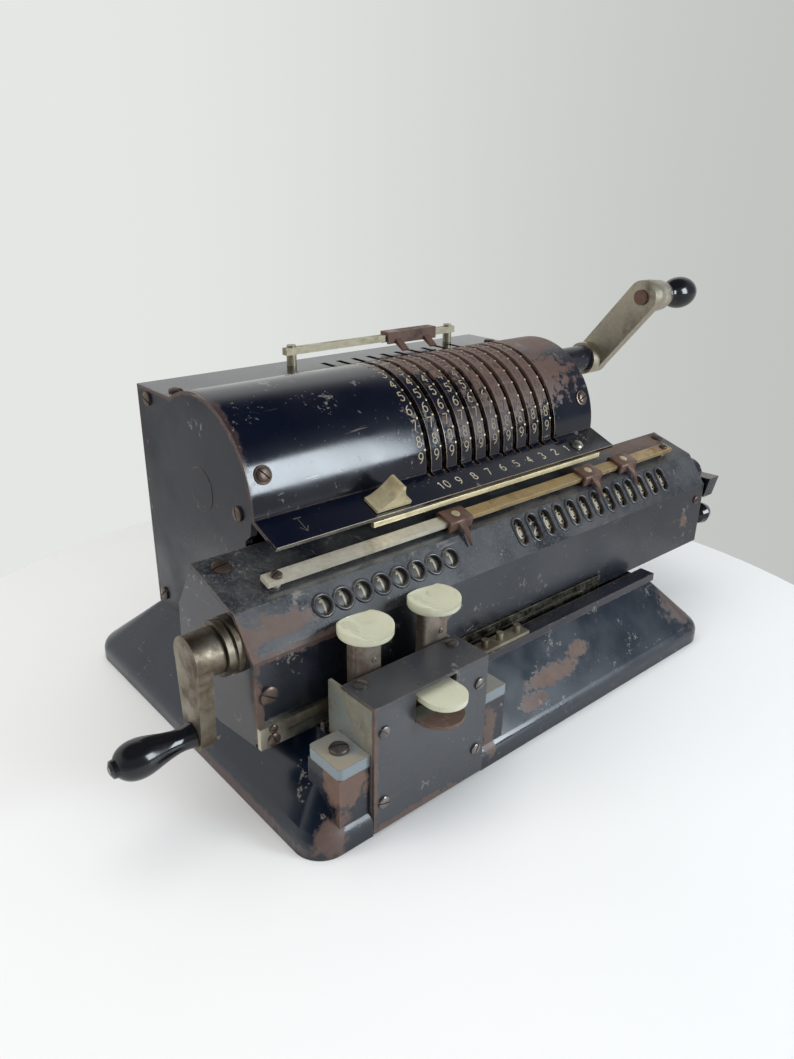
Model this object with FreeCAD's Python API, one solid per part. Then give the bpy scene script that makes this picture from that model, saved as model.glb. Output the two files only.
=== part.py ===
"""Pinwheel calculator with a slotted drum cover, a sliding carriage and three cranks or wings.

Millimetres. X runs to the operator's right, -Y to the operator, Z up. The origin is the centre
of the base on the table. Every function builds one piece, at rest, where it sits.
"""
import FreeCAD, Part
import math
import os

V = FreeCAD.Vector

# Fits
running_gap = 0.05
seat_gap = 0.15
clear_gap = 0.4

# Base pan; the flat top carries the housing, and the slopes run out from it
base_length = 256.0
top_depth = 142.0
base_height = 32.0
base_wall = 3.0
base_rim = 8.0
base_corner_r = 12.0
base_nose_r = 7.0
slope_left = 25.0
slope_right = 23.0
slope_front = 22.0
slope_rear = 26.0
base_depth = slope_front + top_depth + slope_rear
housing_left = -base_length / 2 + slope_left
housing_right = base_length / 2 - slope_right
plateau_front = -base_depth / 2 + slope_front
housing_rear = base_depth / 2 - slope_rear
pad_r = 9.0
pad_inset = 24.0
bottom_plate_t = 1.5

# Housing
sheet = 1.5
side_plate_t = 3.0
drum_r = 40.5
rotor_y = plateau_front + 89.2
rotor_z = base_height + 73.5
plate_top_z = rotor_z + 34.3
flange_front_y = rotor_y - 55.9
flange_front_z = rotor_z - 7.3
flange_bend_drop = 1.2
housing_front_y = rotor_y - 33.7
housing_notch = 4.0

# Setting slots and pinwheels
digit_pitch = base_length / 26.976
setting_digits = 10
first_slot_x = -1.286 * digit_pitch
slot_w = 3.0
slot_rear_y = housing_rear - 14.0
slot_front_gap = 0.8
lever_t = 1.8
lever_tip_r = 43.0
lever_tip_w = 3.4
lever_root_w = 7.0
ring_r = 34.0
ring_hub_r = 14.0
zero_angle = 126.0
digit_step = 10.35
disc_r = 35.0
disc_t = 2.5
pin_t = 2.2
pin_w = 3.0
pin_root_r = 20.0
pins_per_wheel = 9
first_pin_angle = 230.0
shaft_r = 4.0
bush_r = 7.0
bush_flange_r = 9.5
bush_flange_t = 2.0

# Drive gears and main crank
gear_teeth = 23
gear_module = 1.0
gear_w = 6.0
gear_x = housing_right - side_plate_t - 12.0
crank_axis_angle = 61.0
crank_sleeve_r = 7.8
crank_hub_r = 9.5
crank_hub_len = 6.8
crank_arm_x = housing_right + 62.2
crank_sleeve_end = crank_arm_x - crank_hub_len - clear_gap
crank_arm_t = 6.5
crank_arm_w = 18.5
crank_radius = 50.5
crank_rest_angle = 129.4
crank_boss_r = 9.3
crank_boss_len = 15.0
crank_knob_len = 30.0
crank_knob_r = 9.0
crank_pin_r = 3.0

# Carriage section, as y and z of the folds
carriage_left = housing_left - 25.0
carriage_right = housing_right + 61.0
end_plate_t = 3.0
end_plate_keel = 3.5
top_rear_y = rotor_y - 35.8
top_rear_z = rotor_z - 13.1
fold1_y = rotor_y - 65.8
fold1_z = rotor_z - 21.8
fold2_y = rotor_y - 77.5
fold2_z = rotor_z - 36.6
cover_bottom_z = base_height + 2.5
recess_y = rotor_y - 41.7
recess_left = first_slot_x - 23.8
register_y = rotor_y - 61.7
register_z = rotor_z - 35.5
axle_r = 2.5

# Windows and numeral wheels
result_digits = 13
counter_digits = 8
first_result_x = 1.918 * digit_pitch
first_counter_x = -9.768 * digit_pitch
window_drop = 0.42
result_window_w = 5.0
result_window_l = 12.0
counter_window_r = 0.369 * digit_pitch
rim_w = 0.9
rim_h = 0.8
wheel_r = 10.0
wheel_w = 0.674 * digit_pitch
wheel_hub_r = 5.0

# Carriage guide
guide_y = rotor_y - 56.2
guide_w = 10.0
guide_h = 6.0
shoe_t = 3.0
shoe_lip_t = 3.5
shoe_front_y = fold2_y + 3.3
shoe_rear_y = housing_front_y - 1.0
strip_h = 9.0
strip_t = 2.0
strip_length = base_length - 56.0

# Register clearing
ring_big_r = 11.0
ring_len = 6.0
clear_hub_r = 8.8
clear_hub_len = 11.5
clear_arm_t = 6.0
clear_arm_len = 31.5
clear_arm_top_w = 17.0
clear_arm_foot_w = 13.0
clear_handle_len = 30.0
clear_handle_r = 7.2
clear_neck_r = 4.3
clear_pin_r = 2.5
wing_hub_r = 8.0
wing_len = 17.5
wing_t = 7.0
wing_w = 10.0
wing_stub_r = 5.0
end_knob_y = fold2_y + 6.3
end_knob_z = register_z - 23.5
end_knob_r = 6.3

# Marker bars
bar_w = 5.5
bar_t = 2.2
bar_lift = 1.9
bar_y = fold1_y + 7.1
bar_left = carriage_left + 17.0
bar_right = carriage_right - 14.0
bar_post_r = 2.2
marker_w = 14.0
marker_depth = 10.5
marker_t = 1.4
marker_tail = 13.0
marker_places = (-1.475 * digit_pitch, 8.325 * digit_pitch, 11.486 * digit_pitch)
rear_rail_y = housing_rear - 9.0
rear_rail_left = first_slot_x - 18.8
rear_rail_right = housing_right - 23.0
rear_rail_w = 3.6
rear_rail_h = 3.4
rear_rail_lift = 5.2
rear_marker_left = rear_rail_right - 50.0
rear_marker_len = 34.0
rear_prong_w = 4.0
rear_prong_inset = 5.0

# Front rail, key block and lock bar
ledge_front = plateau_front - 0.2
ledge_rear = plateau_front + 7.8
ledge_top = base_height + 4.0
ledge_right = housing_right + 1.5
block_left = housing_left + 2.0
block_right = block_left + 57.0
block_front = -base_depth / 2 - 0.2
block_step = plateau_front - 3.0
block_rear = plateau_front + 5.0
block_top = base_height + 24.4
block_low = 0.8
block_wall = 1.6
block_step_z = block_top - 9.4
boss_w = 14.0
boss_front = -base_depth / 2 + 2.0
boss_rear = plateau_front - 1.0
boss_top = base_height - 1.0
lug_t = 5.0
key_xs = (block_left + 14.0, block_right - 8.7)
key_y = block_rear - 4.6
key_stem_w = 13.4
key_stem_d = 7.5
key_cap_r = 10.7
key_cap_t = 5.0
key_top_z = block_top + 19.0
key_stem_below = 26.0
scoop_z = block_top - 12.9
scoop_t = 1.4
shelf_drop = 18.0
front_key_x = (block_left + block_right) / 2 + 1.0
front_key_w = 17.5
front_key_reach = 20.0
front_key_lift = 7.0
front_key_t = 2.2
stop_left = block_right + 20.0
stop_len = 32.0
lock_bar_left = housing_left + 47.0
lock_bar_right = housing_right - 11.0
lock_travel = 5.0
lock_neck_x = housing_left + 59.0
lock_neck_w = 4.0
carry_gear_r = 7.5
carry_gear_w = 5.0
carry_arm_t = 3.0
bridge_front = housing_front_y + 3.5
bridge_depth = 10.0
bridge_low = base_height + 12.0
bridge_high = bridge_low + 12.0
screw_inset = 7.0
side_screws = ((housing_rear - 10.0, plate_top_z - 4.8), (rotor_y - 29.7, rotor_z - 1.5),
               (housing_rear - 7.0, base_height + 6.5))
drum_screw_angle = 22.0

# Places worked out from the sizes above
drum_inner = drum_r - sheet
drum_rear_y = rotor_y + math.sqrt(drum_r ** 2 - (plate_top_z - rotor_z) ** 2)
drum_rear_inner_y = rotor_y + math.sqrt(drum_inner ** 2 - (plate_top_z - sheet - rotor_z) ** 2)
flange_bend_z = rotor_z - flange_bend_drop
flange_bend_y = rotor_y - math.sqrt(drum_r ** 2 - flange_bend_drop ** 2)
flange_angle = math.atan2(flange_bend_z - flange_front_z, flange_bend_y - flange_front_y)
slot_front_y = rotor_y - lever_tip_r - slot_front_gap
slots_x = [first_slot_x + digit_pitch * i for i in range(setting_digits)]
gear_pitch_r = gear_module * gear_teeth / 2
crank_y = rotor_y + 2 * gear_pitch_r * math.cos(math.radians(crank_axis_angle))
crank_z = rotor_z + 2 * gear_pitch_r * math.sin(math.radians(crank_axis_angle))
crank_stud_y = crank_y + crank_radius * math.cos(math.radians(crank_rest_angle))
crank_stud_z = crank_z + crank_radius * math.sin(math.radians(crank_rest_angle))
crank_knob_x = crank_arm_x + crank_arm_t + crank_boss_len + clear_gap
top_slope = math.atan2(top_rear_z - fold1_z, top_rear_y - fold1_y)
face_slope = math.atan2(fold1_z - fold2_z, fold1_y - fold2_y)
inner_left = carriage_left + end_plate_t
inner_right = carriage_right - end_plate_t
guide_top = base_height + guide_h
shoe_z = guide_top + clear_gap
window_y = fold1_y + (fold2_y - fold1_y) * window_drop
window_z = fold1_z + (fold2_z - fold1_z) * window_drop
clear_arm_x = carriage_left - ring_len - clear_hub_len
carry_reach = lever_tip_r + carry_gear_r + 1.6
carry_angle = math.atan2(register_z - rotor_z, register_y - rotor_y)
carry_y = rotor_y + carry_reach * math.cos(carry_angle)
carry_z = rotor_z + carry_reach * math.sin(carry_angle)


def box(x0, x1, y0, y1, z0, z1):
    """Block between two corners."""
    return Part.makeBox(x1 - x0, y1 - y0, z1 - z0, V(x0, y0, z0))


def rod(x0, x1, y, z, r):
    """Round bar along X."""
    return Part.makeCylinder(r, x1 - x0, V(x0, y, z), V(1, 0, 0))


def tube(x0, x1, y, z, r, bore):
    """Round bar along X with a bore."""
    return rod(x0, x1, y, z, r).cut(rod(x0 - 1, x1 + 1, y, z, bore))


def post(x, y, z0, z1, r):
    """Round bar along Z."""
    return Part.makeCylinder(r, z1 - z0, V(x, y, z0))


def slab(points, x0, x1):
    """Polygon of (y, z) points carried along X."""
    ring = [V(x0, y, z) for y, z in points]
    return Part.Face(Part.makePolygon(ring + ring[:1])).extrude(V(x1 - x0, 0, 0))


def fuse(shapes):
    """Join shapes into one clean solid."""
    return shapes[0].multiFuse(shapes[1:]).removeSplitter()


def group(shapes):
    """Keep shapes as separate solids of one node."""
    return Part.makeCompound(shapes)


def turned(profile, x, y, z):
    """Revolve (x, r) stations about a line along X; the profile closes on the line."""
    ring = [V(x + a, y, z + r) for a, r in profile]
    ring = [V(x + profile[0][0], y, z)] + ring + [V(x + profile[-1][0], y, z), V(x + profile[0][0], y, z)]
    return Part.Face(Part.makePolygon(ring)).revolve(V(x, y, z), V(1, 0, 0), 360)


def smooth_turned(profile, x, y, z):
    """Revolve a curve through (x, r) stations about a line along X."""
    curve = Part.BSplineCurve()
    curve.interpolate([V(x + a, y, z + r) for a, r in profile])
    start = V(x + profile[0][0], y, z)
    end = V(x + profile[-1][0], y, z)
    edges = [curve.toShape(),
             Part.makeLine(V(x + profile[-1][0], y, z + profile[-1][1]), end),
             Part.makeLine(end, start),
             Part.makeLine(start, V(x + profile[0][0], y, z + profile[0][1]))]
    return Part.Face(Part.Wire(edges)).revolve(V(x, y, z), V(1, 0, 0), 360)


def rounded_rect(x0, x1, y0, y1, z, r):
    """Wire of a rectangle with round corners, at height z."""
    s = r * (1 - math.sqrt(0.5))
    edges = []
    corners = [(x1, y0, -1, 1), (x1, y1, -1, -1), (x0, y1, 1, -1), (x0, y0, 1, 1)]
    ends = []
    for i, (cx, cy, sx, sy) in enumerate(corners):
        a = V(cx + sx * r, cy, z) if i % 2 == 0 else V(cx, cy + sy * r, z)
        b = V(cx, cy + sy * r, z) if i % 2 == 0 else V(cx + sx * r, cy, z)
        ends.append((a, V(cx + sx * s, cy + sy * s, z), b))
    for i, (a, m, b) in enumerate(ends):
        edges.append(Part.Arc(a, m, b).toShape())
        edges.append(Part.makeLine(b, ends[(i + 1) % 4][0]))
    return Part.Wire(edges)


def pan_body(inset, z0, top, rim):
    """Solid of the pan's form, drawn in by a wall on every side."""
    r_low = base_corner_r - inset
    hx = base_length / 2 - inset
    hy = base_depth / 2 - inset
    low = rounded_rect(-hx, hx, -hy, hy, z0, r_low)
    mid = rounded_rect(-hx, hx, -hy, hy, rim, r_low)
    draw = inset * 0.4
    high = rounded_rect(housing_left + draw, housing_right - draw, plateau_front + draw,
                        housing_rear - draw, top, 2.0)
    lower = Part.Face(low).extrude(V(0, 0, rim - z0))
    upper = Part.makeLoft([mid, high], True, True)
    return lower.fuse(upper).removeSplitter()


def base_pan():
    """Sloped pan with a rounded nose, hollow below, with the two square front bosses."""
    outer = pan_body(0.0, 0.0, base_height, base_rim)
    nose = [e for e in outer.Edges if abs(e.BoundBox.ZMin - base_rim) < 0.01
            and abs(e.BoundBox.ZMax - base_rim) < 0.01]
    outer = outer.makeFillet(base_nose_r, nose)
    left = box(block_left - boss_w, block_left, boss_front, boss_rear, base_rim, boss_top)
    right = box(block_right, block_right + boss_w, boss_front, boss_rear, base_rim, boss_top)
    inner = pan_body(base_wall, -1.0, base_height - base_wall, base_rim - 1)
    pan = fuse([outer, left, right]).cut(inner)
    pocket = box(block_left - seat_gap, block_right + seat_gap, -base_depth, block_rear + seat_gap,
                 -1, base_height + 1)
    return pan.cut(pocket)


def bottom_plate():
    """Sheet that closes the pan from below, with holes for the rubber pads."""
    gap = base_wall + seat_gap
    hx = base_length / 2 - gap
    hy = base_depth / 2 - gap
    plate = Part.Face(rounded_rect(-hx, hx, -hy, hy, 0, base_corner_r - gap))
    plate = plate.extrude(V(0, 0, bottom_plate_t))
    notch = box(block_left - seat_gap, block_right + seat_gap, -base_depth, block_rear + seat_gap,
                -1, base_height)
    holes = [post(x, y, -1, base_height, pad_r + seat_gap) for x, y in pad_places()]
    return plate.cut(group([notch] + holes))


def pad_places():
    """Centres of the four rubber pads."""
    hx = base_length / 2 - pad_inset
    hy = base_depth / 2 - pad_inset
    return [(x, y) for x in (-hx, hx) for y in (-hy * 0.75, hy)]


def rubber_pads():
    """Four rubber discs let into the bottom plate."""
    return group([post(x, y, 0, bottom_plate_t + 0.5, pad_r) for x, y in pad_places()])


def frame_lug():
    """Cast foot of the frame on the left boss."""
    lug = box(block_left - boss_w, block_left - seat_gap, boss_front, boss_rear, boss_top, boss_top + lug_t)
    edges = [e for e in lug.Edges if abs(e.BoundBox.XMax - (block_left - boss_w)) < 0.01
             and e.BoundBox.ZLength > 1]
    return lug.makeFillet(2.0, edges)


def right_lug():
    """Dark foot of the frame on the right boss."""
    return box(block_right + seat_gap, block_right + boss_w, boss_front, boss_rear, boss_top, boss_top + lug_t)


def front_rail():
    """Ledge along the front of the frame that the carriage runs behind."""
    rail = box(block_right + seat_gap, ledge_right, ledge_front, ledge_rear, base_height, ledge_top)
    behind = box(housing_left, block_right + seat_gap, block_rear + clear_gap, ledge_rear,
                 base_height, ledge_top)
    return fuse([rail, behind])


def carriage_guide():
    """Square steel rail under the carriage."""
    return box(housing_left, housing_right, guide_y - guide_w / 2, guide_y + guide_w / 2,
               base_height, guide_top)


def side_plate_section():
    """Outline of a frame side plate under the cover, as a face at X = 0."""
    r = drum_inner - seat_gap
    top = plate_top_z - sheet - seat_gap
    front_z = flange_bend_z - 2.0
    a = V(0, rotor_y - math.sqrt(r ** 2 - (front_z - rotor_z) ** 2), front_z)
    b = V(0, rotor_y + math.sqrt(r ** 2 - (top - rotor_z) ** 2), top)
    rear = housing_rear - sheet - seat_gap
    points = [b, V(0, rear, top), V(0, rear, base_height), V(0, housing_front_y, base_height),
              V(0, housing_front_y, rotor_z - 11.9), V(0, housing_front_y - housing_notch, rotor_z - 8.5), a]
    edges = [Part.makeLine(p, q) for p, q in zip(points, points[1:])]
    edges.append(Part.Arc(a, V(0, rotor_y, rotor_z + r), b).toShape())
    return Part.Face(Part.Wire(edges))


def side_plate(x0, with_crank):
    """Frame side plate with the rotor bearing bore, and the crank bore on the right."""
    face = side_plate_section()
    face.translate(V(x0, 0, 0))
    plate = face.extrude(V(side_plate_t, 0, 0))
    plate = plate.cut(rod(x0 - 1, x0 + side_plate_t + 1, rotor_y, rotor_z, bush_r + running_gap))
    if with_crank:
        plate = plate.cut(rod(x0 - 1, x0 + side_plate_t + 1, crank_y, crank_z, crank_sleeve_r - 2))
    return plate


def cover_section():
    """Section of the cover sheet: flange, drum and flat top, as a face at X = 0."""
    drop = (sheet * math.sin(flange_angle), -sheet * math.cos(flange_angle))
    front_in = V(0, flange_front_y + drop[0], flange_front_z + drop[1])
    u = (math.cos(flange_angle), math.sin(flange_angle))
    dy = front_in.y - rotor_y
    dz = front_in.z - rotor_z
    half = dy * u[0] + dz * u[1]
    run = -half - math.sqrt(half ** 2 - (dy ** 2 + dz ** 2 - drum_inner ** 2))
    bend_in = V(0, front_in.y + run * u[0], front_in.z + run * u[1])
    outer = [V(0, flange_front_y, flange_front_z), V(0, flange_bend_y, flange_bend_z),
             V(0, drum_rear_y, plate_top_z), V(0, housing_rear, plate_top_z)]
    inner = [V(0, housing_rear, plate_top_z - sheet), V(0, drum_rear_inner_y, plate_top_z - sheet)]
    edges = [Part.makeLine(outer[0], outer[1]),
             Part.Arc(outer[1], V(0, rotor_y, rotor_z + drum_r), outer[2]).toShape(),
             Part.makeLine(outer[2], outer[3]),
             Part.makeLine(outer[3], inner[0]),
             Part.makeLine(inner[0], inner[1]),
             Part.Arc(inner[1], V(0, rotor_y, rotor_z + drum_inner), bend_in).toShape(),
             Part.makeLine(bend_in, front_in),
             Part.makeLine(front_in, outer[0])]
    return Part.Face(Part.Wire(edges))


def main_cover():
    """Slotted cover: flange, drum and top in one bent sheet, open where the setting levers run."""
    face = cover_section()
    face.translate(V(housing_left, 0, 0))
    cover = face.extrude(V(housing_right - housing_left, 0, 0))
    cuts = []
    for x in slots_x:
        cut = box(x - slot_w / 2, x + slot_w / 2, slot_front_y, slot_rear_y, flange_front_z - 5,
                  rotor_z + drum_r + 1)
        cuts.append(cut)
    neck = lock_neck_w / 2 + clear_gap
    cuts.append(box(lock_neck_x - neck, lock_neck_x + neck + lock_travel, lock_neck_y() - 1.6,
                    lock_neck_y() + 1.6, flange_front_z - 5, flange_bend_z + 5))
    return cover.cut(group(cuts))


def rear_cover():
    """Rear wall with a folded top edge under the main cover."""
    wall = box(housing_left, housing_right, housing_rear - sheet, housing_rear, base_height,
               plate_top_z - sheet - seat_gap)
    fold = box(housing_left + side_plate_t + seat_gap, housing_right - side_plate_t - seat_gap,
               housing_rear - 12, housing_rear - sheet, plate_top_z - 2 * sheet - seat_gap,
               plate_top_z - sheet - seat_gap)
    return fuse([wall, fold])


def cross_bar():
    """Frame bar across the front of the housing, with the two arms that carry the carry gears."""
    x0 = housing_left + side_plate_t
    x1 = housing_right - side_plate_t
    y1 = bridge_front + bridge_depth
    bar = box(x0, x1, bridge_front, y1, bridge_low, bridge_high)
    eye = carry_gear_r * 0.6
    outline = [(bridge_front, bridge_low), (y1, bridge_low), (y1, bridge_high + 1), (carry_y + eye, carry_z),
               (carry_y + eye / 2, carry_z + eye), (carry_y - eye / 2, carry_z + eye), (carry_y - eye, carry_z),
               (carry_y - eye / 2, carry_z - carry_gear_r * 1.6)]
    arms = [slab(outline, x, x + carry_arm_t) for x in carry_arms_x()]
    return fuse([bar] + arms)


def carry_arms_x():
    """Left faces of the two arms, just outside the row of carry gears."""
    side = digit_pitch / 2 + clear_gap
    return (slots_x[0] - side - carry_arm_t, slots_x[-1] + side)


def carry_shaft():
    """Axle that the carry gears turn on."""
    left, right = carry_arms_x()
    return rod(left + carry_arm_t + seat_gap, right - seat_gap, carry_y, carry_z, axle_r)


def gear(x, y, z, teeth, pitch_r, width, bore, phase):
    """Spur gear along X with flat-sided teeth; phase turns it by a share of one tooth."""
    module = 2 * pitch_r / teeth
    points = []
    for i in range(teeth):
        middle = 2 * math.pi * (i + phase) / teeth
        for share, r in ((-0.27, -1.1), (-0.11, 0.75), (0.11, 0.75), (0.27, -1.1)):
            a = middle + 2 * math.pi * share / teeth
            points.append((y + (pitch_r + r * module) * math.cos(a), z + (pitch_r + r * module) * math.sin(a)))
    return slab(points, x, x + width).cut(rod(x - 1, x + width + 1, y, z, bore))


def carry_gears():
    """Ten small gears between the pinwheels and the carriage."""
    gears = []
    for x in slots_x:
        gears.append(gear(x - carry_gear_w / 2, carry_y, carry_z, 10, carry_gear_r - 1.1, carry_gear_w,
                          axle_r + running_gap, 0.0))
    return group(gears)


def rotor_shaft():
    """Shaft of the pinwheel rotor, through both side plates' bushes."""
    return rod(housing_left + 0.5, housing_right - 0.5, rotor_y, rotor_z, shaft_r)


def rotor_bushes():
    """Two flanged bushes that carry the rotor shaft in the side plates."""
    bushes = []
    for x, side in ((housing_left, 1), (housing_right, -1)):
        a = min(x, x + side * side_plate_t)
        body = tube(a, a + side_plate_t, rotor_y, rotor_z, bush_r, shaft_r + running_gap)
        f = x + side * side_plate_t
        collar = tube(min(f, f + side * bush_flange_t), max(f, f + side * bush_flange_t), rotor_y, rotor_z,
                      bush_flange_r, shaft_r + running_gap)
        bushes.append(fuse([body, collar]))
    return group(bushes)


def pinwheel_discs():
    """Ten discs, each with the hub that its setting ring turns on."""
    discs = []
    for x in slots_x:
        face_x = x + lever_t / 2 + running_gap
        web = rod(face_x, face_x + disc_t, rotor_y, rotor_z, disc_r)
        hub = rod(x - lever_t / 2 - running_gap, x - lever_t / 2 + digit_pitch - 3 * running_gap,
                  rotor_y, rotor_z, ring_hub_r)
        disc = fuse([web, hub]).cut(rod(x - digit_pitch, x + 2 * digit_pitch, rotor_y, rotor_z,
                                        shaft_r + running_gap))
        discs.append(disc)
    return group(discs)


def pinwheel_pins():
    """Nine flat pins on each disc, drawn in."""
    pins = []
    for x in slots_x:
        face_x = x + lever_t / 2 + disc_t + 2 * running_gap
        for i in range(pins_per_wheel):
            pin = box(face_x, face_x + pin_t, rotor_y + pin_root_r, rotor_y + disc_r + 1.0,
                      rotor_z - pin_w / 2, rotor_z + pin_w / 2)
            pin.rotate(V(0, rotor_y, rotor_z), V(1, 0, 0), first_pin_angle - digit_step * i)
            pins.append(pin)
    return group(pins)


def rotor_spacers():
    """Collars that fill the shaft between the pinwheels and the bushes."""
    left = tube(housing_left + side_plate_t + bush_flange_t + seat_gap,
                slots_x[0] - lever_t / 2 - 2 * running_gap - seat_gap,
                rotor_y, rotor_z, shaft_r + 3, shaft_r + running_gap)
    last = slots_x[-1] - lever_t / 2 + digit_pitch
    right = tube(last + seat_gap, gear_x - seat_gap, rotor_y, rotor_z, shaft_r + 3, shaft_r + running_gap)
    return group([left, right])


def rotor_gear():
    """Gear on the rotor shaft."""
    return gear(gear_x, rotor_y, rotor_z, gear_teeth, gear_pitch_r, gear_w, shaft_r + running_gap, 0.0)


def setting_lever(i):
    """Setting ring of one pinwheel with its finger through the cover slot, at zero."""
    x = slots_x[i]
    ring = tube(x - lever_t / 2, x + lever_t / 2, rotor_y, rotor_z, ring_r, ring_hub_r + running_gap)
    half_root = lever_root_w / 2
    half_tip = lever_tip_w / 2
    finger = [(ring_r - 2, -half_root), (lever_tip_r - 0.8, -half_tip), (lever_tip_r, -half_tip * 0.5),
              (lever_tip_r, half_tip * 0.5), (lever_tip_r - 0.8, half_tip), (ring_r - 2, half_root)]
    bar = slab([(rotor_y + r, rotor_z + w) for r, w in finger], x - lever_t / 2, x + lever_t / 2)
    bar.rotate(V(0, rotor_y, rotor_z), V(1, 0, 0), 180 - zero_angle)
    return fuse([ring, bar])


def crank_sleeve():
    """Black bearing sleeve that stands out of the right side plate."""
    flange = rod(housing_right, housing_right + 4, crank_y, crank_z, crank_sleeve_r + 4)
    barrel = rod(housing_right, crank_sleeve_end, crank_y, crank_z, crank_sleeve_r)
    spigot = rod(housing_right - side_plate_t - 1.5, housing_right + 1, crank_y, crank_z,
                 crank_sleeve_r - 2 - running_gap)
    bore = rod(housing_right - 20, crank_sleeve_end + 1, crank_y, crank_z, shaft_r + running_gap)
    return fuse([flange, barrel, spigot]).cut(bore)


def crank_shaft():
    """Shaft from the crank gear to the crank arm."""
    return rod(gear_x - 1, crank_arm_x + crank_arm_t - 1, crank_y, crank_z, shaft_r)


def crank_gear():
    """Gear on the crank shaft, in mesh with the rotor gear."""
    line = crank_axis_angle / 360.0 * gear_teeth
    phase = (2 * line + gear_teeth / 2.0 + 0.5) % 1.0
    return gear(gear_x, crank_y, crank_z, gear_teeth, gear_pitch_r, gear_w, shaft_r + running_gap, phase)


def crank_arm():
    """Flat crank arm with a hub collar and a boss for the grip."""
    dy = crank_stud_y - crank_y
    dz = crank_stud_z - crank_z
    ny = -dz / crank_radius * crank_arm_w / 2
    nz = dy / crank_radius * crank_arm_w / 2
    quad = [(crank_y + ny, crank_z + nz), (crank_stud_y + ny, crank_stud_z + nz),
            (crank_stud_y - ny, crank_stud_z - nz), (crank_y - ny, crank_z - nz)]
    x0 = crank_arm_x
    x1 = crank_arm_x + crank_arm_t
    plate = slab(quad, x0, x1)
    hub = rod(crank_sleeve_end + clear_gap, x1, crank_y, crank_z, crank_hub_r)
    end = rod(x0, x1, crank_stud_y, crank_stud_z, crank_arm_w / 2)
    boss = turned([(0, crank_boss_r), (crank_boss_len * 0.7, crank_boss_r * 0.9),
                   (crank_boss_len, crank_boss_r * 0.72)], x1, crank_stud_y, crank_stud_z)
    hole = rod(x0 - 20, x1 - 1, crank_y, crank_z, shaft_r + running_gap)
    stud_hole = rod(x0 - 1, x1 + crank_boss_len + 1, crank_stud_y, crank_stud_z, crank_pin_r + running_gap)
    return fuse([plate, hub, end, boss]).cut(hole).cut(stud_hole)


def crank_stud():
    """Stud with a slotted head that the grip turns on."""
    head = rod(crank_arm_x - 1.4, crank_arm_x, crank_stud_y, crank_stud_z, 4.2)
    pin = rod(crank_arm_x - 1, crank_knob_x + crank_knob_len - 8, crank_stud_y, crank_stud_z, crank_pin_r)
    return fuse([head, pin])


def crank_knob():
    """Turned black ball grip."""
    r = crank_knob_r
    stations = [(0, r * 0.62), (3, r * 0.58), (7, r * 0.78), (13, r * 0.98), (19, r * 0.97), (25, r * 0.72),
                (crank_knob_len, r * 0.2)]
    knob = smooth_turned(stations, crank_knob_x, crank_stud_y, crank_stud_z)
    hole = rod(crank_knob_x - 1, crank_knob_x + crank_knob_len - 7.5, crank_stud_y, crank_stud_z,
               crank_pin_r + running_gap)
    return knob.cut(hole)


def offset_line(p, q, t):
    """Shift a line of the section inwards by t; inwards is down and to the rear."""
    dy = q[0] - p[0]
    dz = q[1] - p[1]
    n = math.hypot(dy, dz)
    shift = (-dz / n * t, dy / n * t)
    return (p[0] + shift[0], p[1] + shift[1]), (q[0] + shift[0], q[1] + shift[1])


def crossing(a, b):
    """Point where two section lines meet."""
    (x1, y1), (x2, y2) = a
    (x3, y3), (x4, y4) = b
    d = (x1 - x2) * (y3 - y4) - (y1 - y2) * (x3 - x4)
    s = x1 * y2 - y1 * x2
    t = x3 * y4 - y3 * x4
    return ((s * (x3 - x4) - (x1 - x2) * t) / d, (s * (y3 - y4) - (y1 - y2) * t) / d)


def carriage_path(t):
    """Section of the carriage skin at depth t below its outer face, rear edge first."""
    outer = [(top_rear_y, top_rear_z), (fold1_y, fold1_z), (fold2_y, fold2_z), (fold2_y, cover_bottom_z)]
    lines = [offset_line(p, q, t) for p, q in zip(outer, outer[1:])]
    first = crossing(lines[0], ((top_rear_y, 0.0), (top_rear_y, 1.0)))
    return [first, crossing(lines[0], lines[1]), crossing(lines[1], lines[2]),
            (fold2_y + t, cover_bottom_z)]


def obround(x, half_w, half_l, depth_from, depth_to):
    """Round-ended prism square to the window face of the carriage, centred on x."""
    tangent = V(0, math.cos(face_slope), math.sin(face_slope))
    normal = V(0, -math.sin(face_slope), math.cos(face_slope))
    middle = V(x, window_y, window_z) + normal * depth_from
    side = V(1, 0, 0) * half_w
    reach = tangent * (half_l - half_w)
    tip = tangent * half_l
    if half_l - half_w < 0.01:
        wire = Part.Wire([Part.Circle(middle, normal, half_w).toShape()])
    else:
        a = middle + side + reach
        b = middle - side + reach
        c = middle - side - reach
        d = middle + side - reach
        wire = Part.Wire([Part.Arc(a, middle + tip, b).toShape(), Part.makeLine(b, c),
                          Part.Arc(c, middle - tip, d).toShape(), Part.makeLine(d, a)])
    return Part.Face(wire).extrude(normal * (depth_to - depth_from))


def windows():
    """Centre x, half width and half length of every register window."""
    result = [(first_result_x + digit_pitch * i, result_window_w / 2, result_window_l / 2)
              for i in range(result_digits)]
    counter = [(first_counter_x + digit_pitch * i, counter_window_r, counter_window_r)
               for i in range(counter_digits)]
    return result + counter


def carriage_cover():
    """Folded carriage skin with its windows, cut away at the rear where the setting levers pass."""
    outline = carriage_path(0) + carriage_path(sheet)[::-1]
    skin = slab(outline, carriage_left, carriage_right)
    cuts = [obround(x, w, length, -sheet - 2, 2) for x, w, length in windows()]
    cuts.append(box(recess_left, carriage_right + 1, recess_y, top_rear_y + 1, fold1_z, top_rear_z + 1))
    return skin.cut(group(cuts))


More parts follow.
